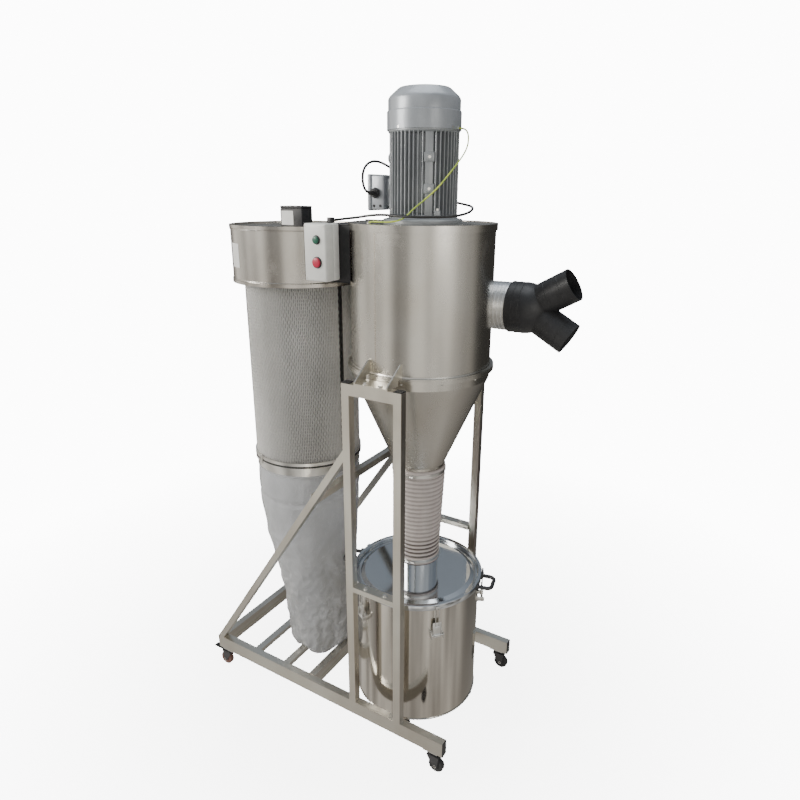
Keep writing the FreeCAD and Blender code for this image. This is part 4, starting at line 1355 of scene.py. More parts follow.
@dataclass
class FanMotor:
    """The fan motor: flange, finned body with pads, ventilated cowl and terminal box."""

    bench: Bench
    core: float = 98 * MM
    fin: float = 117.5 * MM
    cowl_edge: float = 121.3 * MM
    fin_thickness: float = 3.2 * MM
    fin_pitch: float = 7.2
    pad_angle: float = -52.0
    pad_room: float = 15.0
    flange: float = 134.8 * MM
    cowl_rim: float = 79 * MM
    cowl_screw_angle: float = -13.0
    sleeve: float = 22 * MM
    screw_heights: tuple[float, float] = (110 * MM, 205 * MM)

    def build(self) -> None:
        """Makes every part of the motor."""
        low, high = corners("motor_body")
        self.centre = Vector(((low.x + high.x) / 2, 0.0, 0.0))
        self.body(low.z, high.z)
        self.cowl()
        self.terminal_box()
        self.gland()

    def body(self, foot: float, top: float) -> None:
        """The flange, the core, the fins and the pads.

        Args:
            foot: The height of the flange's foot.
            top: The height of the body's top.
        """
        mesh = bmesh.new()
        flange = self.flange
        lathe(mesh, [
            (0, foot), (flange - 1 * MM, foot), (flange, foot + 2 * MM), (flange, foot + 12 * MM),
            (flange - 3 * MM, foot + 15 * MM), (self.fin, foot + 18 * MM),
            (self.fin - 4 * MM, foot + 26 * MM), (self.core, foot + 36 * MM), (self.core, top - 14 * MM),
            (self.fin - 3 * MM, top - 8 * MM),
            (self.fin, top - 4 * MM), (self.fin, top), (0, top),
        ], (self.centre.x, 0, 0), 120)
        pads = [self.pad_angle + 90 * index for index in range(4)]
        count = round(360 / self.fin_pitch)
        for index in range(count):
            angle = self.pad_angle + 360 / count * (index + 0.5)
            if min(abs((angle - pad + 180) % 360 - 180) for pad in pads) < self.pad_room:
                continue
            blade = box(
                mesh, (self.centre.x + self.core - 3 * MM, -self.fin_thickness / 2, foot + 27 * MM),
                (self.centre.x + self.fin, self.fin_thickness / 2, top - 6 * MM), 0.9 * MM, 1,
            )
            swing(mesh, angle, self.centre, blade)
        for pad in pads:
            self.pad(mesh, pad, foot)
        self.bench.piece(
            mesh, "finned_body", self.bench.finishes.motor, "motor_paint", stands_for=["motor_body"],
        )
        self.screws(foot, pads)

    def pad(self, mesh: bmesh.types.BMesh, angle: float, foot: float) -> None:
        """One flat pad with three ribs beside it.

        Args:
            mesh: The mesh that it is added to.
            angle: Where it stands about the axis, in degrees.
            foot: The height of the flange's foot.
        """
        x = self.centre.x
        skin = self.fin - 6 * MM
        parts = box(
            mesh, (x + self.core - 8 * MM, -13 * MM, foot + 26 * MM),
            (x + skin, 13 * MM, foot + 280 * MM), 2 * MM,
        )
        for side in (-1, 1):
            parts += box(
                mesh, (x + self.core - 6 * MM, side * 21 * MM - 2 * MM, foot + 27 * MM),
                (x + skin, side * 21 * MM + 2 * MM, foot + 280 * MM), 1 * MM, 1,
            )
        for height in (foot + rise for rise in self.screw_heights):
            parts += box(
                mesh, (x + self.core - 6 * MM, -17 * MM, height - 15 * MM),
                (x + self.fin - 3 * MM, 17 * MM, height + 15 * MM), 3 * MM,
            )
            parts += rod(
                mesh, (x + self.fin - 6 * MM, 0, height), (x + self.fin - 0.4 * MM, 0, height), 11 * MM,
                28, 9.5 * MM,
            )
        parts += box(
            mesh, (x + self.core - 8 * MM, 20 * MM, foot + 14 * MM),
            (x + self.fin - 4 * MM, 40 * MM, foot + 44 * MM), 3 * MM,
        )
        swing(mesh, angle, self.centre, parts)

    def screws(self, foot: float, pads: Sequence[float]) -> None:
        """Screws in the pads, the flange and the cowl.

        Args:
            foot: The height of the flange's foot.
            pads: The pads' angles.
        """
        x = self.centre.x
        mesh = bmesh.new()
        for height in (foot + rise for rise in self.screw_heights):
            rod(mesh, (x + self.fin - 1 * MM, 0, height), (x + self.fin + 0.4 * MM, 0, height), 5 * MM, 6)
        bolt(mesh, (x + 104 * MM, 30 * MM, foot + 44 * MM), (0, 0, 1), 11 * MM, 5 * MM)
        swing(mesh, pads[0], self.centre)
        turned_copies(mesh, 4, self.centre)
        cowl = bmesh.new()
        height = corners("motor_cowl")[0].z + 5.5 * MM
        skin = x + self.cowl_edge
        rod(cowl, (skin - 1.3 * MM, 0, height), (skin + 0.1 * MM, 0, height), 4 * MM, 16)
        swing(cowl, self.cowl_screw_angle, self.centre)
        turned_copies(cowl, 4, self.centre)
        self.bench.piece(mesh, "motor_bolts", self.bench.finishes.zinc, "zinc")
        self.bench.piece(cowl, "cowl_screws", self.bench.finishes.zinc, "zinc")

    def cowl(self) -> None:
        """The cowl: a stepped band, a rounded shoulder and a ringed grille."""
        low, high = corners("motor_cowl")
        foot, top = low.z, high.z
        edge = self.cowl_edge
        inner = edge - 4 * MM
        rim = self.cowl_rim
        mesh = bmesh.new()
        outline = [
            (inner, foot), (edge, foot), (edge, foot + 54 * MM), (edge - 1.2 * MM, foot + 56.5 * MM),
            (edge - 3.6 * MM, foot + 57 * MM), (edge - 3.6 * MM, top - 38 * MM),
            (edge - 5.4 * MM, top - 33 * MM), (edge - 9.5 * MM, top - 27 * MM),
            (rim + 8 * MM, top - 5.5 * MM), (rim + 3 * MM, top - 2.2 * MM), (rim - 3 * MM, top - 1.4 * MM),
            (rim - 5 * MM, top - 4 * MM), (0, top - 4 * MM), (0, foot + 20 * MM), (inner, foot + 20 * MM),
        ]
        lathe(mesh, outline, (self.centre.x, 0, 0), 128)
        self.bench.piece(
            mesh, "fan_cowl", self.bench.finishes.cowl, "motor_paint", stands_for=["motor_cowl"], sharp=24,
        )
        grille = bmesh.new()
        for index in range(6):
            radius = (20 + 9.5 * index) * MM
            lathe(grille, [
                (radius - 1.6 * MM, top - 4.1 * MM), (radius + 1.6 * MM, top - 4.1 * MM),
                (radius + 1.6 * MM, top - 0.9 * MM), (radius - 1.6 * MM, top - 0.9 * MM),
            ], (self.centre.x, 0, 0), 72)
        for index in range(6):
            spoke = box(
                grille, (self.centre.x, -2.2 * MM, top - 4.1 * MM),
                (self.centre.x + 74 * MM, 2.2 * MM, top - 0.3 * MM), 0.6 * MM, 1,
            )
            swing(grille, 60 * index, self.centre, spoke)
        rod(grille, (self.centre.x, 0, top - 3.6 * MM), (self.centre.x, 0, top - 0.1 * MM), 20 * MM, 40)
        self.bench.piece(grille, "cowl_grille", self.bench.finishes.motor, "motor_paint")

    def terminal_box(self) -> None:
        """The terminal box: a neck, a rounded housing and a lid with four screws."""
        low, high = corners("terminal_box")
        mesh = bmesh.new()
        box(
            mesh, (low.x + 14 * MM, low.y + 3 * MM, low.z + 3 * MM),
            (low.x + 66 * MM, high.y - 3 * MM, high.z - 3 * MM), 6 * MM, 3,
        )
        box(mesh, low, (low.x + 15 * MM, high.y, high.z), 5 * MM, 3)
        box(
            mesh, (low.x + 60 * MM, -40 * MM, low.z + 15 * MM),
            (self.centre.x - self.core + 4 * MM, 40 * MM, high.z - 15 * MM), 4 * MM,
        )
        self.bench.piece(
            mesh, "terminal_housing", self.bench.finishes.cowl, "motor_paint", stands_for=["terminal_box"],
        )
        screws = bmesh.new()
        inset = 10 * MM
        for y in (low.y + inset, high.y - inset):
            for z in (low.z + inset, high.z - inset):
                rod(screws, (low.x + 0.6 * MM, y, z), (low.x - 0.1 * MM, y, z), 4 * MM, 16)
        for x in (low.x + 26 * MM, low.x + 52 * MM):
            plug = low.z + 16 * MM
            rod(screws, (x, low.y + 3.2 * MM, plug), (x, low.y + 0.6 * MM, plug), 4.5 * MM, 16)
        self.bench.piece(screws, "terminal_screws", self.bench.finishes.rubber, "black_plastic")

    def gland(self) -> None:
        """A ribbed gland with the lead's tapered sleeve, and the lead's entry on the switch box."""
        tip = Vector(CableRoutes.power[0]) * MM + self.centre
        mesh = bmesh.new()
        face = tip.y + 18 * MM
        rod(mesh, (tip.x, face, tip.z), (tip.x, face - 7 * MM, tip.z), 17.8 * MM, 6)
        rod(mesh, (tip.x, face - 7 * MM, tip.z), (tip.x, face - 17.9 * MM, tip.z), 16 * MM, 12, 11 * MM)
        for index in range(12):
            turn = 2 * math.pi * index / 12
            radius = 13.5 * MM
            place = (tip.x + radius * math.cos(turn), face - 8 * MM, tip.z + radius * math.sin(turn))
            end = (place[0], face - 14 * MM, place[2])
            rod(mesh, place, end, 1.8 * MM, 6)
        end = Vector(CableRoutes.power[-1]) * MM + self.centre
        box(
            mesh, (end.x - 9 * MM, end.y - 22 * MM, end.z - 9 * MM),
            (end.x + 9 * MM, end.y, end.z + 9 * MM), 3 * MM, 3,
        )
        self.bench.piece(
            mesh, "ribbed_glands", self.bench.finishes.black, "black_plastic", stands_for=["cable_glands"],
        )
        sleeve = bmesh.new()
        rod(sleeve, tip, (tip.x, tip.y - self.sleeve, tip.z), 7.5 * MM, 24, 5.2 * MM)
        for index in range(4):
            place = tip.y - (3 + 5 * index) * MM
            rod(sleeve, (tip.x, place, tip.z), (tip.x, place - 2 * MM, tip.z), (7.9 - 0.5 * index) * MM, 24)
        self.bench.piece(sleeve, "strain_relief", self.bench.finishes.rubber, "black_plastic")


# --- inlet -------------------------------------------------------------------------------------------


@dataclass
class Inlet:
    """The forked inlet: bands, mouth rims and the hanging flap."""

    bench: Bench
    branch_angle: float = 30.0
    mouth: float = 57.5 * MM
    cuff: float = 88.3 * MM
    flap_reach: float = 185.5 * MM
    flap_tilt: float = -16.0

    def build(self) -> None:
        """Dresses the fitting and adds what is on it."""
        self.bench.dress(self.bench.finishes.black, "inlet_fork")
        low, high = corners("inlet_fork")
        self.start = low.x
        self.root = Vector((low.x + 52 * MM, (low.y + high.y) / 2, (low.z + high.z) / 2))
        self.bands()
        self.flap()

    def way(self, sign: int) -> Vector:
        """The direction of a branch, up for 1 and down for -1."""
        turn = math.radians(self.branch_angle)
        return Vector((math.cos(turn), 0, sign * math.sin(turn)))

    def bands(self) -> None:
        """A raised lip on the cuff, a ridge on each branch and beads on the silver tube."""
        mesh = bmesh.new()
        ahead = Vector((1, 0, 0))
        for shift, height in ((2 * MM, 1.6 * MM), (26 * MM, 0.9 * MM), (50 * MM, 0.9 * MM)):
            place = Vector((self.start + shift, self.root.y, self.root.z))
            hoop(mesh, place, self.cuff + height / 2, 1.6 * MM, 72, 6, ahead)
        for sign in (-1, 1):
            way = self.way(sign)
            for along in (100 * MM, 150 * MM):
                hoop(mesh, self.root + way * along, self.mouth - 0.4 * MM, 1.2 * MM, 72, 6, way)
        self.bench.piece(mesh, "fitting_ridges", self.bench.finishes.black, "black_plastic")
        beads = bmesh.new()
        low, high = corners("inlet_tube")
        radius = (high.z - low.z) / 2
        for index in range(4):
            place = Vector((self.start - (10 + 14 * index) * MM, self.root.y, self.root.z))
            hoop(beads, place, radius - 0.6 * MM, 1.6 * MM, 72, 6, ahead)
        self.bench.piece(beads, "tube_beads", self.bench.finishes.foil, "zinc")

    def flap(self) -> None:
        """A soft round flap that hangs half out of the lower mouth."""
        way = self.way(-1)
        lip = self.root + way * self.flap_reach
        turn = upright(way)
        mesh = bmesh.new()
        bmesh.ops.create_circle(
            mesh, cap_ends=True, segments=48, radius=self.mouth - 5 * MM,
            matrix=Matrix.Translation(lip) @ turn,
        )
        bmesh.ops.solidify(mesh, geom=list(mesh.faces), thickness=1.2 * MM)
        tilt = Matrix.Rotation(math.radians(self.flap_tilt), 3, "Y")
        hinge = lip + turn @ Vector((self.mouth - 6 * MM, 0, 0))
        bmesh.ops.rotate(mesh, verts=list(mesh.verts), cent=hinge, matrix=tilt)
        bmesh.ops.translate(mesh, verts=list(mesh.verts), vec=way * (-14 * MM))
        self.bench.piece(mesh, "inlet_flap", self.bench.finishes.flap, "black_plastic")


# --- filter ------------------------------------------------------------------------------------------


@dataclass
class Filter:
    """The filter: its head drum, the pleated cartridge under a mesh, and the band with its clips."""

    bench: Bench
    pleats: int = 190
    pleat_depth: float = 12 * MM
    mesh_lines: int = 104
    mesh_segments: int = 26
    wire: float = 0.75 * MM
    seam_angle: float = -10.0
    clip_angle: float = -20.0
    label_angle: float = -123.0
    label_turn: float = 14.0

    def build(self) -> None:
        """Makes the filter's parts."""
        finishes = self.bench.finishes
        self.bench.dress(finishes.head, "filter_head")
        self.bench.dress(finishes.sheet, "filter_head_lid")
        self.bench.dress(finishes.zinc, "cartridge_ring")
        low, high = corners("filter_cartridge")
        self.centre = Vector(((low.x + high.x) / 2, 0.0, 0.0))
        self.radius = (high.x - low.x) / 2
        self.cartridge(low.z, high.z)
        self.wire_mesh(low.z, high.z)
        self.rims(low.z)
        self.head_trim()

    def cartridge(self, foot: float, top: float) -> None:
        """The pleated wall: a star-shaped ring drawn up.

        Args:
            foot: The height of its foot.
            top: The height of its top.
        """
        mesh = bmesh.new()
        crest = self.radius - 2 * self.wire - 0.8 * MM
        ring = bmesh.ops.create_circle(
            mesh, cap_ends=False, segments=self.pleats * 4, radius=crest,
            matrix=Matrix.Translation((self.centre.x, 0, foot)),
        )["verts"]
        for index, vertex in enumerate(ring):
            step = index % 4
            share = {0: 0.0, 1: 0.45, 2: 1.0, 3: 0.45}[step]
            away = vertex.co - Vector((self.centre.x, 0, foot))
            vertex.co = Vector((self.centre.x, 0, foot)) + away * (1 - share * self.pleat_depth / crest)
        edges = list(mesh.edges)
        levels = 6
        for level in range(levels):
            raised = bmesh.ops.extrude_edge_only(mesh, edges=edges)["geom"]
            vertices = of_kind(raised, bmesh.types.BMVert)
            edges = of_kind(raised, bmesh.types.BMEdge)
            bmesh.ops.translate(mesh, verts=vertices, vec=(0, 0, (top - foot) / levels))
            for vertex in vertices:
                sway = 0.6 * MM * noise.noise(Vector((vertex.co.x * 18, vertex.co.y * 18, level * 1.7)))
                away = (vertex.co - Vector((self.centre.x, 0, vertex.co.z))).normalized()
                vertex.co -= away * abs(sway)
        self.bench.piece(
            mesh, "pleated_cartridge", self.bench.finishes.cloth, "filter_cloth",
            stands_for=["filter_cartridge"], sharp=180,
        )

    def wire_mesh(self, foot: float, top: float) -> None:
        """The diamond mesh round the pleats, from one wire each way.

        Args:
            foot: The height of its foot.
            top: The height of its top.
        """
        radius = self.radius - self.wire
        rise = top - foot
        sweep_angle = rise / 2.0 / radius
        for name, sign in (("mesh_left", -1), ("mesh_right", 1)):
            mesh = bmesh.new()
            path = []
            for index in range(self.mesh_segments + 1):
                share = index / self.mesh_segments
                turn = sign * sweep_angle * share
                path.append(Vector((
                    self.centre.x + radius * math.cos(turn), radius * math.sin(turn), foot + rise * share,
                )))
            sweep(mesh, path, self.wire, 3)
            turned_copies(mesh, self.mesh_lines, self.centre)
            self.bench.piece(mesh, name, self.bench.finishes.mesh, "filter_cloth", sharp=60)

    def rims(self, foot: float) -> None:
        """The seam strip up the cartridge, the black foot seal and the band's clips.

        Args:
            foot: The height of the cartridge's foot.
        """
        strip = bmesh.new()
        top = corners("filter_cartridge")[1].z
        skin = self.centre.x + self.radius
        box(strip, (skin - 4 * MM, -9 * MM, foot), (skin - 0.2 * MM, 9 * MM, top), 1 * MM)
        swing(strip, self.seam_angle, self.centre)
        self.bench.piece(strip, "cartridge_seam", self.bench.finishes.duct, "black_plastic")
        seal = bmesh.new()
        edge = self.radius + 5 * MM
        lathe(seal, [
            (edge - 3 * MM, foot + 2 * MM), (edge - 0.2 * MM, foot + 3 * MM),
            (edge + 0.6 * MM, foot + 9 * MM), (edge - 0.2 * MM, foot + 15 * MM),
            (edge - 3 * MM, foot + 16 * MM),
        ], (self.centre.x, 0, 0), 128)
        self.bench.piece(seal, "foot_seal", self.bench.finishes.rubber, "black_plastic")
        clips = bmesh.new()
        x = self.centre.x + edge
        box(clips, (x - 2 * MM, -9 * MM, foot - 6 * MM), (x + 3 * MM, 9 * MM, foot + 34 * MM), 1.2 * MM)
        box(clips, (x - 1 * MM, -7 * MM, foot + 22 * MM), (x + 8 * MM, 7 * MM, foot + 30 * MM), 2 * MM)
        path = [
            Vector((x + 4 * MM, side * 8 * MM, foot + height * MM))
            for side, height in ((-1, 4), (-1, 26), (1, 26), (1, 4))
        ]
        sweep(clips, path, 1.4 * MM, 8)
        turned_copies(clips, 4, self.centre)
        swing(clips, self.clip_angle, self.centre)
        self.bench.piece(clips, "band_clips", self.bench.finishes.zinc, "zinc")

    def head_trim(self) -> None:
        """Rolled beads on the head's rims, and a blank white label."""
        low, high = corners("filter_head")
        radius = (high.y - low.y) / 2
        mesh = bmesh.new()
        for height in (low.z + 5 * MM, low.z + 15 * MM, high.z - 15 * MM, high.z - 3 * MM):
            hoop(mesh, (self.centre.x, 0, height), radius - 2.2 * MM, 2 * MM, 128, 6)
        self.bench.piece(mesh, "head_beads", self.bench.finishes.head, "cyclone_steel")
        label = bmesh.new()
        skin = radius - 2.6 * MM
        steps = 8
        for index in range(steps):
            patch = box(
                label, (self.centre.x + skin - 0.6 * MM, -4.1 * MM, low.z + 60 * MM),
                (self.centre.x + skin + 0.3 * MM, 4.1 * MM, low.z + 146 * MM),
            )
            angle = self.label_angle + self.label_turn * (index + 0.5) / steps
            swing(label, angle, self.centre, patch)
        self.bench.piece(label, "blank_label", self.bench.finishes.label, "switch_plastic")


@dataclass
class DustBag:
    """The film bag: hung from the band, gathered below, sagging between the slats."""

    bench: Bench
    around: int = 144
    rows: int = 90
    floor_rings: int = 14
    droop: float = 34 * MM
    slat_droop: float = 14 * MM
    slat_width: float = 30 * MM
    hem_radius: float = 214.6 * MM
    sections: tuple[tuple[float, float, float, float], ...] = (
        (0.0, 214.0, 0.0, 0.0), (0.06, 217.0, 0.0, 0.0), (0.2, 215.0, -2.0, 0.0), (0.38, 200.0, 5.0, 0.0),
        (0.51, 187.0, 15.0, 0.0), (0.65, 175.0, 32.0, 5.0), (0.78, 166.0, 48.0, 12.0),
        (0.90, 160.0, 64.0, 28.0), (0.97, 154.0, 72.0, 40.0), (1.0, 142.0, 74.0, 42.0),
    )

    def build(self) -> None:
        """Lofts the bag, then creases it and lets its foot sag."""
        low, high = corners("dust_bag")
        neck = middle("cartridge_ring")
        top, foot = high.z, low.z
        mesh = bmesh.new()
        loops = []
        for row in range(self.rows + 1):
            share = row / self.rows
            radius, shift, near = self.section(share)
            place = Matrix.Translation((neck.x + shift, -near, top + (foot - top) * share))
            loops.append(bmesh.ops.create_circle(
                mesh, segments=self.around, radius=radius, matrix=place,
            )["verts"])
        radius, shift, near = self.section(1.0)
        for ring in range(1, self.floor_rings + 1):
            place = Matrix.Translation((neck.x + shift, -near, foot + 0.4 * MM))
            inner = radius * (1 - ring / (self.floor_rings + 0.4))
            loops.append(bmesh.ops.create_circle(
                mesh, cap_ends=ring == self.floor_rings, segments=self.around, radius=inner, matrix=place,
            )["verts"])
        rings = [edges_of(ring) for ring in loops]
        for one, two in zip(rings, rings[1:]):
            bmesh.ops.bridge_loops(mesh, edges=one + two)
        self.crease(loops[:self.rows + 1])
        self.sag(mesh, foot)
        bag = self.bench.piece(
            mesh, "hanging_bag", self.bench.finishes.film, "bag_film", stands_for=["dust_bag"], sharp=180,
        )
        smooth = bag.modifiers.new("smooth", "SUBSURF")
        smooth.levels = smooth.render_levels = 1
        self.tie(neck, top)

    def sag(self, mesh: bmesh.types.BMesh, foot: float) -> None:
        """Lets the bag's foot hang between the slats and the middle rail.

        Args:
            mesh: The bag's mesh.
            foot: The height of its foot.
        """
        low, high = corners("bag_slats")
        gaps = (
            (low.x + self.slat_width, high.x - self.slat_width, self.slat_droop),
            (high.x, corners("base_rail_middle")[0].x, self.droop),
        )
        for vertex in mesh.verts:
            nearness = max(0.0, 1 - (vertex.co.z - foot) / (60 * MM))
            for start, end, depth in gaps:
                across = (vertex.co.x - start) / (end - start)
                if 0 < across < 1:
                    vertex.co.z -= depth * (1 - (2 * across - 1) ** 2) * nearness

    def section(self, share: float) -> Point:
        """The bag's radius and shifts at a share of its height.

        The sections give the share, the radius, the shift along X and the shift towards the near
        side, in millimetres.

        Args:
            share: 0 at the neck and 1 at the foot.

        Returns:
            Radius and the two shifts, in metres.
        """
        for one, two in zip(self.sections, self.sections[1:]):
            if share <= two[0] + 1e-9:
                part = (share - one[0]) / (two[0] - one[0])
                soft = part * part * (3 - 2 * part)
                return tuple((a + (b - a) * soft) * MM for a, b in zip(one[1:], two[1:]))
        return tuple(value * MM for value in self.sections[-1][1:])

    def crease(self, loops: Sequence[list]) -> None:
        """Moves the film: hanging folds, a crease below the neck, and wrinkles that grow downwards.

        Args:
            loops: The bag's rings of vertices, from the top down.
        """
        last = len(loops) - 1
        for row, ring in enumerate(loops):
            share = row / last
            hub = sum((vertex.co for vertex in ring), Vector()) / len(ring)
            low = min(1.0, max(0.0, (share - 0.3) / 0.5))
            for vertex in ring:
                way = vertex.co - hub
                way.z = 0
                way.normalize()
                turn = math.atan2(way.y, way.x)
                free = min(1.0, share / 0.1)
                folds = 3.5 * math.sin(turn * 5 + 2.0 * share + 0.6) + 1.6 * math.sin(turn * 17 - 5 * share)
                crease = -6.5 * math.exp(-((share - 0.155 - 0.006 * math.sin(turn * 3)) / 0.009) ** 2)
                lump = 11.0 * noise.noise(Vector((way.x * 1.8, way.y * 1.8, share * 6.0)))
                slant = Vector((way.x * 4 + share * 7, way.y * 4, share * 18.0))
                wrinkle = 1 - 2 * abs(noise.noise(slant))
                crinkle = 1 - 2 * abs(noise.noise(slant * 2.6))
                moved = folds * share + crease + lump * share + (7.0 * wrinkle + 3.0 * crinkle - 7.0) * low
                vertex.co += way * (moved - 3.0 * share) * MM * free

    def tie(self, neck: Vector, top: float) -> None:
        """The elastic hem round the bag's neck.

        Args:
            neck: The middle of the band that the bag hangs from.
            top: The height of the bag's top.
        """
        mesh = bmesh.new()
        hoop(mesh, (neck.x, 0, top - 5 * MM), self.hem_radius, 3 * MM, 128)
        self.bench.piece(mesh, "bag_hem", self.bench.finishes.seam, "bag_film")


# --- controls ----------------------------------------------------------------------------------------


@dataclass
class Controls:
    """The switch box with its buttons, the control box and the black duct."""

    bench: Bench
    cover_depth: float = 44 * MM
    button_rise: float = 9 * MM

    def build(self) -> None:
        """Makes the boxes and the buttons."""
        self.bench.dress(self.bench.finishes.duct, "transfer_duct")
        self.switch_box()
        self.button("start_button", self.bench.finishes.green, "green_plastic")
        self.button("stop_button", self.bench.finishes.red, "red_plastic")
        self.control_box()
        self.duct_trim()

    def switch_box(self) -> None:
        """A moulded box of a base and a cover, with rounded corners and four screws."""
        low, high = corners("switch_box")
        mesh = bmesh.new()
        split = low.y + self.cover_depth
        box(mesh, (low.x, low.y + 0.4 * MM, low.z), (high.x, split - 0.6 * MM, high.z), 7 * MM, 4)
        box(
            mesh, (low.x + 0.6 * MM, split + 0.6 * MM, low.z + 0.6 * MM),
            (high.x - 0.6 * MM, high.y, high.z - 0.6 * MM), 5 * MM, 3,
        )
        box(
            mesh, (low.x + 2.5 * MM, split - 4 * MM, low.z + 2.5 * MM),
            (high.x - 2.5 * MM, split + 4 * MM, high.z - 2.5 * MM), 4 * MM,
        )
        self.bench.piece(
            mesh, "switch_shell", self.bench.finishes.shell, "switch_plastic", stands_for=["switch_box"],
        )
        screws = bmesh.new()
        for x in (low.x + 9 * MM, high.x - 9 * MM):
            for z in (low.z + 10 * MM, high.z - 10 * MM):
                rod(screws, (x, low.y + 1 * MM, z), (x, low.y + 0.1 * MM, z), 3 * MM, 16)
        self.bench.piece(screws, "switch_screws", self.bench.finishes.zinc, "zinc")

    def button(self, node: str, finish: bpy.types.Material, slot: str) -> None:
        """A push button: a domed cap in a ribbed bezel.

        Args:
            node: The button's node and body.
            finish: The cap's material.
            slot: The name of a material slot, passed on to piece.
        """
        low, high = corners(node)
        centre = (low + high) / 2
        radius = (high.x - low.x) / 2
        place = (centre.x, corners("switch_box")[0].y, centre.z)
        rise = self.button_rise
        mesh = bmesh.new()
        lathe(mesh, [
            (0, -rise), (radius * 0.72, -rise), (radius * 0.93, 1 * MM - rise), (radius, 3 * MM - rise),
            (radius, -1 * MM), (radius, 5 * MM), (0, 5 * MM),
        ], (0, 0, 0), 40)
        tip_over(mesh, -1, place)
        self.bench.piece(mesh, f"{node}_cap", finish, slot, node, [node])
        bezel = bmesh.new()
        lathe(bezel, [
            (radius + 0.5 * MM, -4 * MM), (radius + 2.2 * MM, -3.6 * MM), (radius + 3.6 * MM, 0.8 * MM),
            (radius + 0.5 * MM, 0.8 * MM),
        ], (0, 0, 0), 40)
        tip_over(bezel, -1, place)
        self.bench.piece(bezel, f"{node}_bezel", self.bench.finishes.black, "black_plastic")

    def control_box(self) -> None:
        """The black control box with its lid line and a blank pale label."""
        low, high = corners("control_box")
        mesh = bmesh.new()
        box(mesh, low, (high.x, high.y, high.z - 10 * MM), 2 * MM)
        box(mesh, (low.x, low.y, high.z - 9 * MM), (high.x, high.y, high.z), 2 * MM)
        box(
            mesh, (low.x + 2 * MM, low.y + 2 * MM, high.z - 12 * MM),
            (high.x - 2 * MM, high.y - 2 * MM, high.z - 6 * MM),
        )
        self.bench.piece(
            mesh, "control_case", self.bench.finishes.duct, "black_plastic", stands_for=["control_box"],
        )
        label = bmesh.new()
        box(
            label, (low.x + 5 * MM, low.y - 0.3 * MM, low.z + 9 * MM),
            (low.x + 60 * MM, low.y + 0.5 * MM, high.z - 17 * MM), 0.2 * MM, 1,
        )
        self.bench.piece(label, "control_label", self.bench.finishes.label, "switch_plastic")

    def duct_trim(self) -> None:
        """Folded edges along the duct."""
        low, high = corners("transfer_duct")
        mesh = bmesh.new()
        start, end = middle("filter_head").x + 180 * MM, middle("cyclone_lid").x - 172 * MM
        for y in (low.y, high.y):
            for z in (low.z, high.z):
                rod(mesh, (start, y, z), (end, y, z), 2 * MM, 10)
        self.bench.piece(mesh, "duct_folds", self.bench.finishes.duct, "black_plastic")


# --- cables ------------------------------------------------------------------------------------------


class CableRoutes:
    """Each cable's points in millimetres from the cyclone's axis and the floor."""

    power = (
        (-151, -78, 2070), (-151, -101, 2070), (-150, -122, 2077), (-149, -137, 2093), (-149, -142, 2116),
        (-151, -133, 2140), (-154, -109, 2159), (-158, -72, 2170), (-163, -24, 2172), (-166, 30, 2163),
        (-161, 84, 2144), (-136, 128, 2116), (-92, 158, 2086), (-34, 170, 2060), (30, 160, 2042),
        (90, 130, 2034), (142, 82, 2029), (176, 22, 2021), (186, -42, 2009), (166, -96, 2001),
        (118, -132, 1999), (58, -151, 1998), (-6, -157, 2000), (-70, -140, 2003), (-132, -128, 1999),
        (-184, -128, 1991), (-222, -141, 1987), (-238, -164, 1984), (-238, -190.3, 1984),
    )
    earth = (
        (121.6, 10.6, 2266), (139, 8, 2265), (155, 3, 2254), (161, -1, 2234), (161, -6, 2212),
        (155, -16, 2189), (144, -34, 2163), (127, -62, 2127), (102, -92, 2084), (72, -119, 2050),
        (42, -140, 2022), (18, -143, 1998), (-6, -150, 1985), (-34, -162, 1981), (-64, -166, 1981),
        (-94, -158, 1981), (-120, -142, 1979), (-140, -122, 1976),
    )


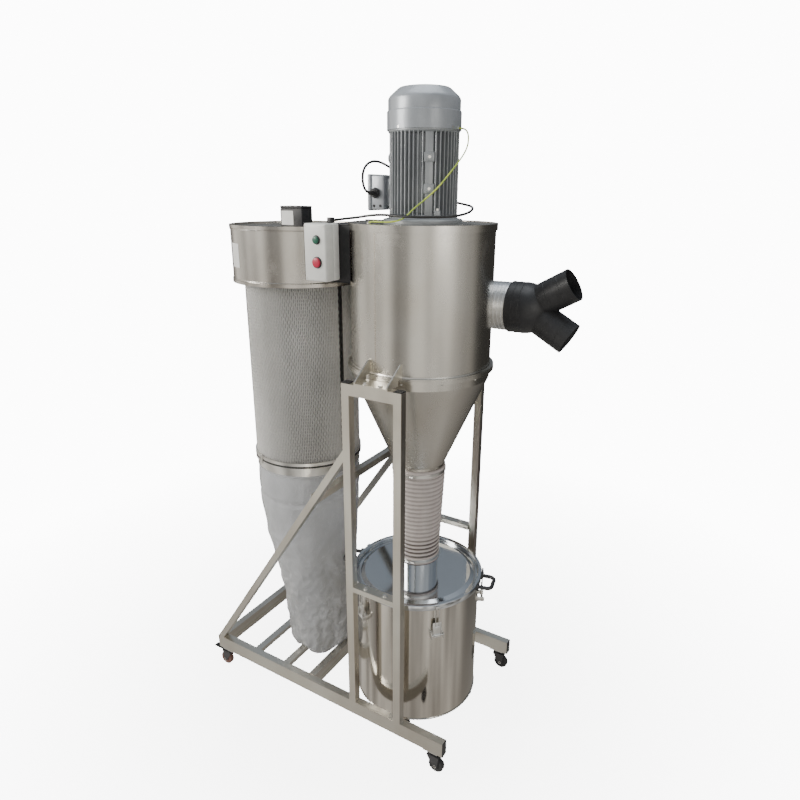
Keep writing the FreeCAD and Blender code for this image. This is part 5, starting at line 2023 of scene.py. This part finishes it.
@dataclass
class Cables:
    """The motor's power lead and its earth wire."""

    bench: Bench
    power_diameter: float = 8.5 * MM
    earth_diameter: float = 5 * MM

    def build(self) -> None:
        """Lays both cables and their end fittings."""
        axis = Vector((middle("cyclone_lid").x, 0, 0))
        finishes = self.bench.finishes
        power = self.lay(
            "power_lead", "power_cord", CableRoutes.power, axis, self.power_diameter, finishes.cable,
            "cable_sheath",
        )
        self.length(power)
        earth = self.lay(
            "earth_lead", "earth_wire", CableRoutes.earth, axis, self.earth_diameter, finishes.earth,
            "earth_sheath",
        )
        self.length(earth)
        self.lugs(axis)

    def lay(
        self, name: str, node: str, route: Sequence[Point], axis: Vector, diameter: float,
        finish: bpy.types.Material, slot: str,
    ) -> bpy.types.Object:
        """Lays a cable on a smooth curve along its route.

        Args:
            name: The piece's name.
            node: The CAD node that it replaces.
            route: Its points in millimetres from the cyclone's axis.
            axis: The cyclone's axis.
            diameter: The cable's diameter.
            finish: Its material.
            slot: The name of a material slot, passed on to enter.

        Returns:
            The cable.
        """
        data = bpy.data.curves.new(name, "CURVE")
        data.dimensions = "3D"
        data.bevel_depth = diameter / 2
        data.bevel_resolution = 4
        data.resolution_u = 8
        data.use_fill_caps = True
        spline = data.splines.new("NURBS")
        spline.points.add(len(route) - 1)
        for point, place in zip(spline.points, route):
            point.co = (*(Vector(place) * MM + axis), 1.0)
        spline.order_u = 3
        spline.use_endpoint_u = True
        data.materials.append(finish)
        return self.bench.enter(data, name, slot, ROOT, node)

    def length(self, cable: bpy.types.Object) -> float:
        """The length of a cable's middle line.

        Args:
            cable: The cable.

        Returns:
            The length in metres.
        """
        bare = cable.copy()
        bare.data = cable.data.copy()
        bare.data.bevel_depth = 0
        line = bpy.data.meshes.new_from_object(bare)
        total = sum(
            (line.vertices[one].co - line.vertices[two].co).length
            for one, two in (edge.vertices for edge in line.edges)
        )
        bpy.data.objects.remove(bare)
        bpy.data.meshes.remove(line)
        return total

    def lugs(self, axis: Vector) -> None:
        """The ring lugs and screws at the earth wire's two ends.

        Args:
            axis: The cyclone's axis.
        """
        mesh = bmesh.new()
        start = Vector(CableRoutes.earth[0]) * MM + axis
        out = (start - Vector((axis.x, 0, start.z))).normalized()
        rod(mesh, start - out * 1.2 * MM, start + out * 1.5 * MM, 6.5 * MM, 24)
        end = Vector(CableRoutes.earth[-1]) * MM + axis
        lid = corners("cyclone_lid")[1].z - 3 * MM
        rod(mesh, (end.x, end.y, lid), (end.x, end.y, lid + 2 * MM), 7 * MM, 24)
        bolt(mesh, (end.x, end.y, lid + 2 * MM), (0, 0, 1), 9 * MM, 4 * MM)
        self.bench.piece(mesh, "earth_lugs", self.bench.finishes.zinc, "zinc")


# --- stage -------------------------------------------------------------------------------------------


@dataclass
class Studio:
    """The floor, the light and the camera."""

    azimuth: float = 30.97
    pitch: float = 18.53
    roll: float = 0.27
    lens: float = 27.79
    away: Point = (1.0613, -1.9131, 2.0701)
    backdrop: float = 12.0
    room_strength: float = 1.0
    soft_strength: float = 0.5
    sensor: float = 36.0
    floor_half: float = 14.0
    floor_fade: tuple[float, float] = (0.6, 2.6)
    aim: Point = (0.1, 0, 1.2)

    def build(self) -> None:
        """Sets the stage."""
        self.camera()
        self.floor()
        self.lights()

    def camera(self) -> None:
        """Stands the camera at its place from the cyclone's axis."""
        turn = math.radians(self.azimuth)
        fall = math.radians(self.pitch)
        lean = math.radians(self.roll)
        ahead = Vector((-math.sin(turn) * math.cos(fall), math.cos(turn) * math.cos(fall), -math.sin(fall)))
        level = Vector((math.cos(turn), math.sin(turn), 0))
        above = level.cross(ahead)
        right = level * math.cos(lean) + above * math.sin(lean)
        top = above * math.cos(lean) - level * math.sin(lean)
        data = bpy.data.cameras.new("camera")
        data.lens = self.lens
        data.sensor_width = self.sensor
        made = bpy.data.objects.new("camera", data)
        place = Matrix((right, top, -ahead)).transposed().to_4x4()
        place.translation = Vector(self.away) + Vector((middle("cyclone_lid").x, 0, 0))
        made.matrix_world = place
        bpy.context.scene.collection.objects.link(made)
        bpy.context.scene.camera = made

    def floor(self) -> None:
        """A wide pale floor."""
        mesh = bmesh.new()
        bmesh.ops.create_grid(mesh, x_segments=1, y_segments=1, size=self.floor_half)
        bmesh.ops.translate(mesh, verts=list(mesh.verts), vec=(0, 0, -0.2 * MM))
        data = bpy.data.meshes.new("floor")
        mesh.to_mesh(data)
        mesh.free()
        graph = Graph(bpy.data.materials.new("floor"))
        soft = graph.grain((0.8, 0.8, 0.8), 3.0, 0.5)
        east, north = graph.axis("X"), graph.axis("Y")
        square = east * east + north * north
        far = square.reckon("SQRT", square).ramp(*self.floor_fade)
        graph.set(
            Base_Color=graph.mix(soft, (0.93, 0.93, 0.93), (0.95, 0.95, 0.95)),
            Roughness=soft * 0.1 + 0.75, Alpha=(1 - far) * 0.5,
        )
        data.materials.append(graph.block)
        made = bpy.data.objects.new("floor", data)
        bpy.context.scene.collection.objects.link(made)
        made.visible_glossy = False

    def lights(self) -> None:
        """A bright even surround, with a key from the left and a softer fill from the right."""
        self.surround()
        for name, place, size, power, tint in (
            ("key", (-3.4, -3.6, 3.4), 2.2, 260.0, (1.0, 0.97, 0.92)),
            ("fill", (4.0, -2.2, 2.4), 1.6, 20.0, (1.0, 0.96, 0.9)),
            ("top", (0.2, 0.4, 5.2), 2.6, 60.0, (0.93, 0.97, 1.0)),
        ):
            data = bpy.data.lights.new(name, "AREA")
            data.energy = power
            data.size = size
            data.color = tint
            made = bpy.data.objects.new(name, data)
            way = Vector(self.aim) - Vector(place)
            turn = way.to_track_quat("-Z", "Y").to_matrix().to_4x4()
            made.matrix_world = Matrix.Translation(place) @ turn
            bpy.context.scene.collection.objects.link(made)

    def surround(self) -> None:
        """A white backdrop for the camera; a warm, streaky room for what the metal reflects."""
        graph = Graph(bpy.data.worlds.new("surround"))
        way = graph.node("ShaderNodeTexCoord", {}).outputs["Generated"]
        rays = graph.node("ShaderNodeLightPath", {}).outputs
        split = graph.node("ShaderNodeSeparateXYZ", {}, way).outputs
        stretched = graph.node("ShaderNodeMapping", {}, way, Scale=(2.6, 2.6, 0.35)).outputs[0]
        streaks = graph.node("ShaderNodeTexNoise", {}, Vector=stretched, Scale=1.0, Detail=3.0)
        stops = ((0.38, (0.09, 0.086, 0.08)), (0.45, (0.46, 0.44, 0.41)), (0.56, (1.25, 1.2, 1.1)))
        bands = graph.node("ShaderNodeValToRGB", {"stops": stops}, streaks.outputs[0]).outputs[0]
        behind = self.share(graph, split["Y"], 0.1, 0.6)
        above = self.share(graph, split["Z"], 0.05, 0.9)
        below = self.share(graph, split["Z"], -0.45, -0.9)
        shaded = graph.mix(behind, bands, (0.035, 0.034, 0.032))
        sky = graph.mix(above, shaded, (0.42, 0.47, 0.53))
        earth = graph.mix(below, sky, (0.46, 0.435, 0.40))
        room = graph.node("ShaderNodeBackground", {}, earth, self.room_strength)
        soft = graph.node("ShaderNodeBackground", {}, (1.0, 0.99, 0.97), self.soft_strength)
        plain = graph.node("ShaderNodeBackground", {}, (1.0, 1.0, 1.0), self.backdrop)
        lit = graph.node(
            "ShaderNodeMixShader", {}, rays["Is Diffuse Ray"], room.outputs[0], soft.outputs[0],
        )
        chosen = graph.node(
            "ShaderNodeMixShader", {}, rays["Is Camera Ray"], lit.outputs[0], plain.outputs[0],
        )
        graph.feed(graph.tree.nodes["World Output"].inputs["Surface"], chosen.outputs[0])
        bpy.context.scene.world = graph.block

    def share(
        self, graph: Graph, source: bpy.types.NodeSocket, low: float, high: float,
    ) -> bpy.types.NodeSocket:
        """Stretches low to high onto 0 to 1.

        Args:
            graph: The world's graph.
            source: The number that is stretched.
            low: What becomes 0.
            high: What becomes 1.

        Returns:
            The stretched number.
        """
        return graph.node("ShaderNodeMapRange", {}, source, From_Min=low, From_Max=high).outputs[0]


# --- assembly ----------------------------------------------------------------------------------------


def main() -> None:
    """Builds the whole machine, one sub-assembly at a time."""
    logging.basicConfig(level=logging.INFO, format="%(name)s: %(message)s")
    Studio().build()
    LOG.info("studio")
    bench = Bench(Finishes(middle("filter_head").x))
    casters = [Caster(bench, f"{side}_{hand}") for side in ("near", "far") for hand in ("left", "right")]
    for part in (
        Cables(bench), TubeFrame(bench), *casters, Cyclone(bench), RibbedHose(bench), Barrel(bench),
        FanMotor(bench), Inlet(bench), Filter(bench), DustBag(bench), Controls(bench),
    ):
        part.build()
        for name in bench.made:
            LOG.info("%s: %s", type(part).__name__, name)
        bench.made.clear()


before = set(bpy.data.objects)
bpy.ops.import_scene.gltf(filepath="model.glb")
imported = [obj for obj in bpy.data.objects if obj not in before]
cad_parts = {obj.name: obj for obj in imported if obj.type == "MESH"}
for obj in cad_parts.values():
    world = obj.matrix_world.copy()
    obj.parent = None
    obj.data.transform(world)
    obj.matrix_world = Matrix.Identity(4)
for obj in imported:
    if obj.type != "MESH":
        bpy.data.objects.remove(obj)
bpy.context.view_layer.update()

if __name__ == "__main__":
    main()
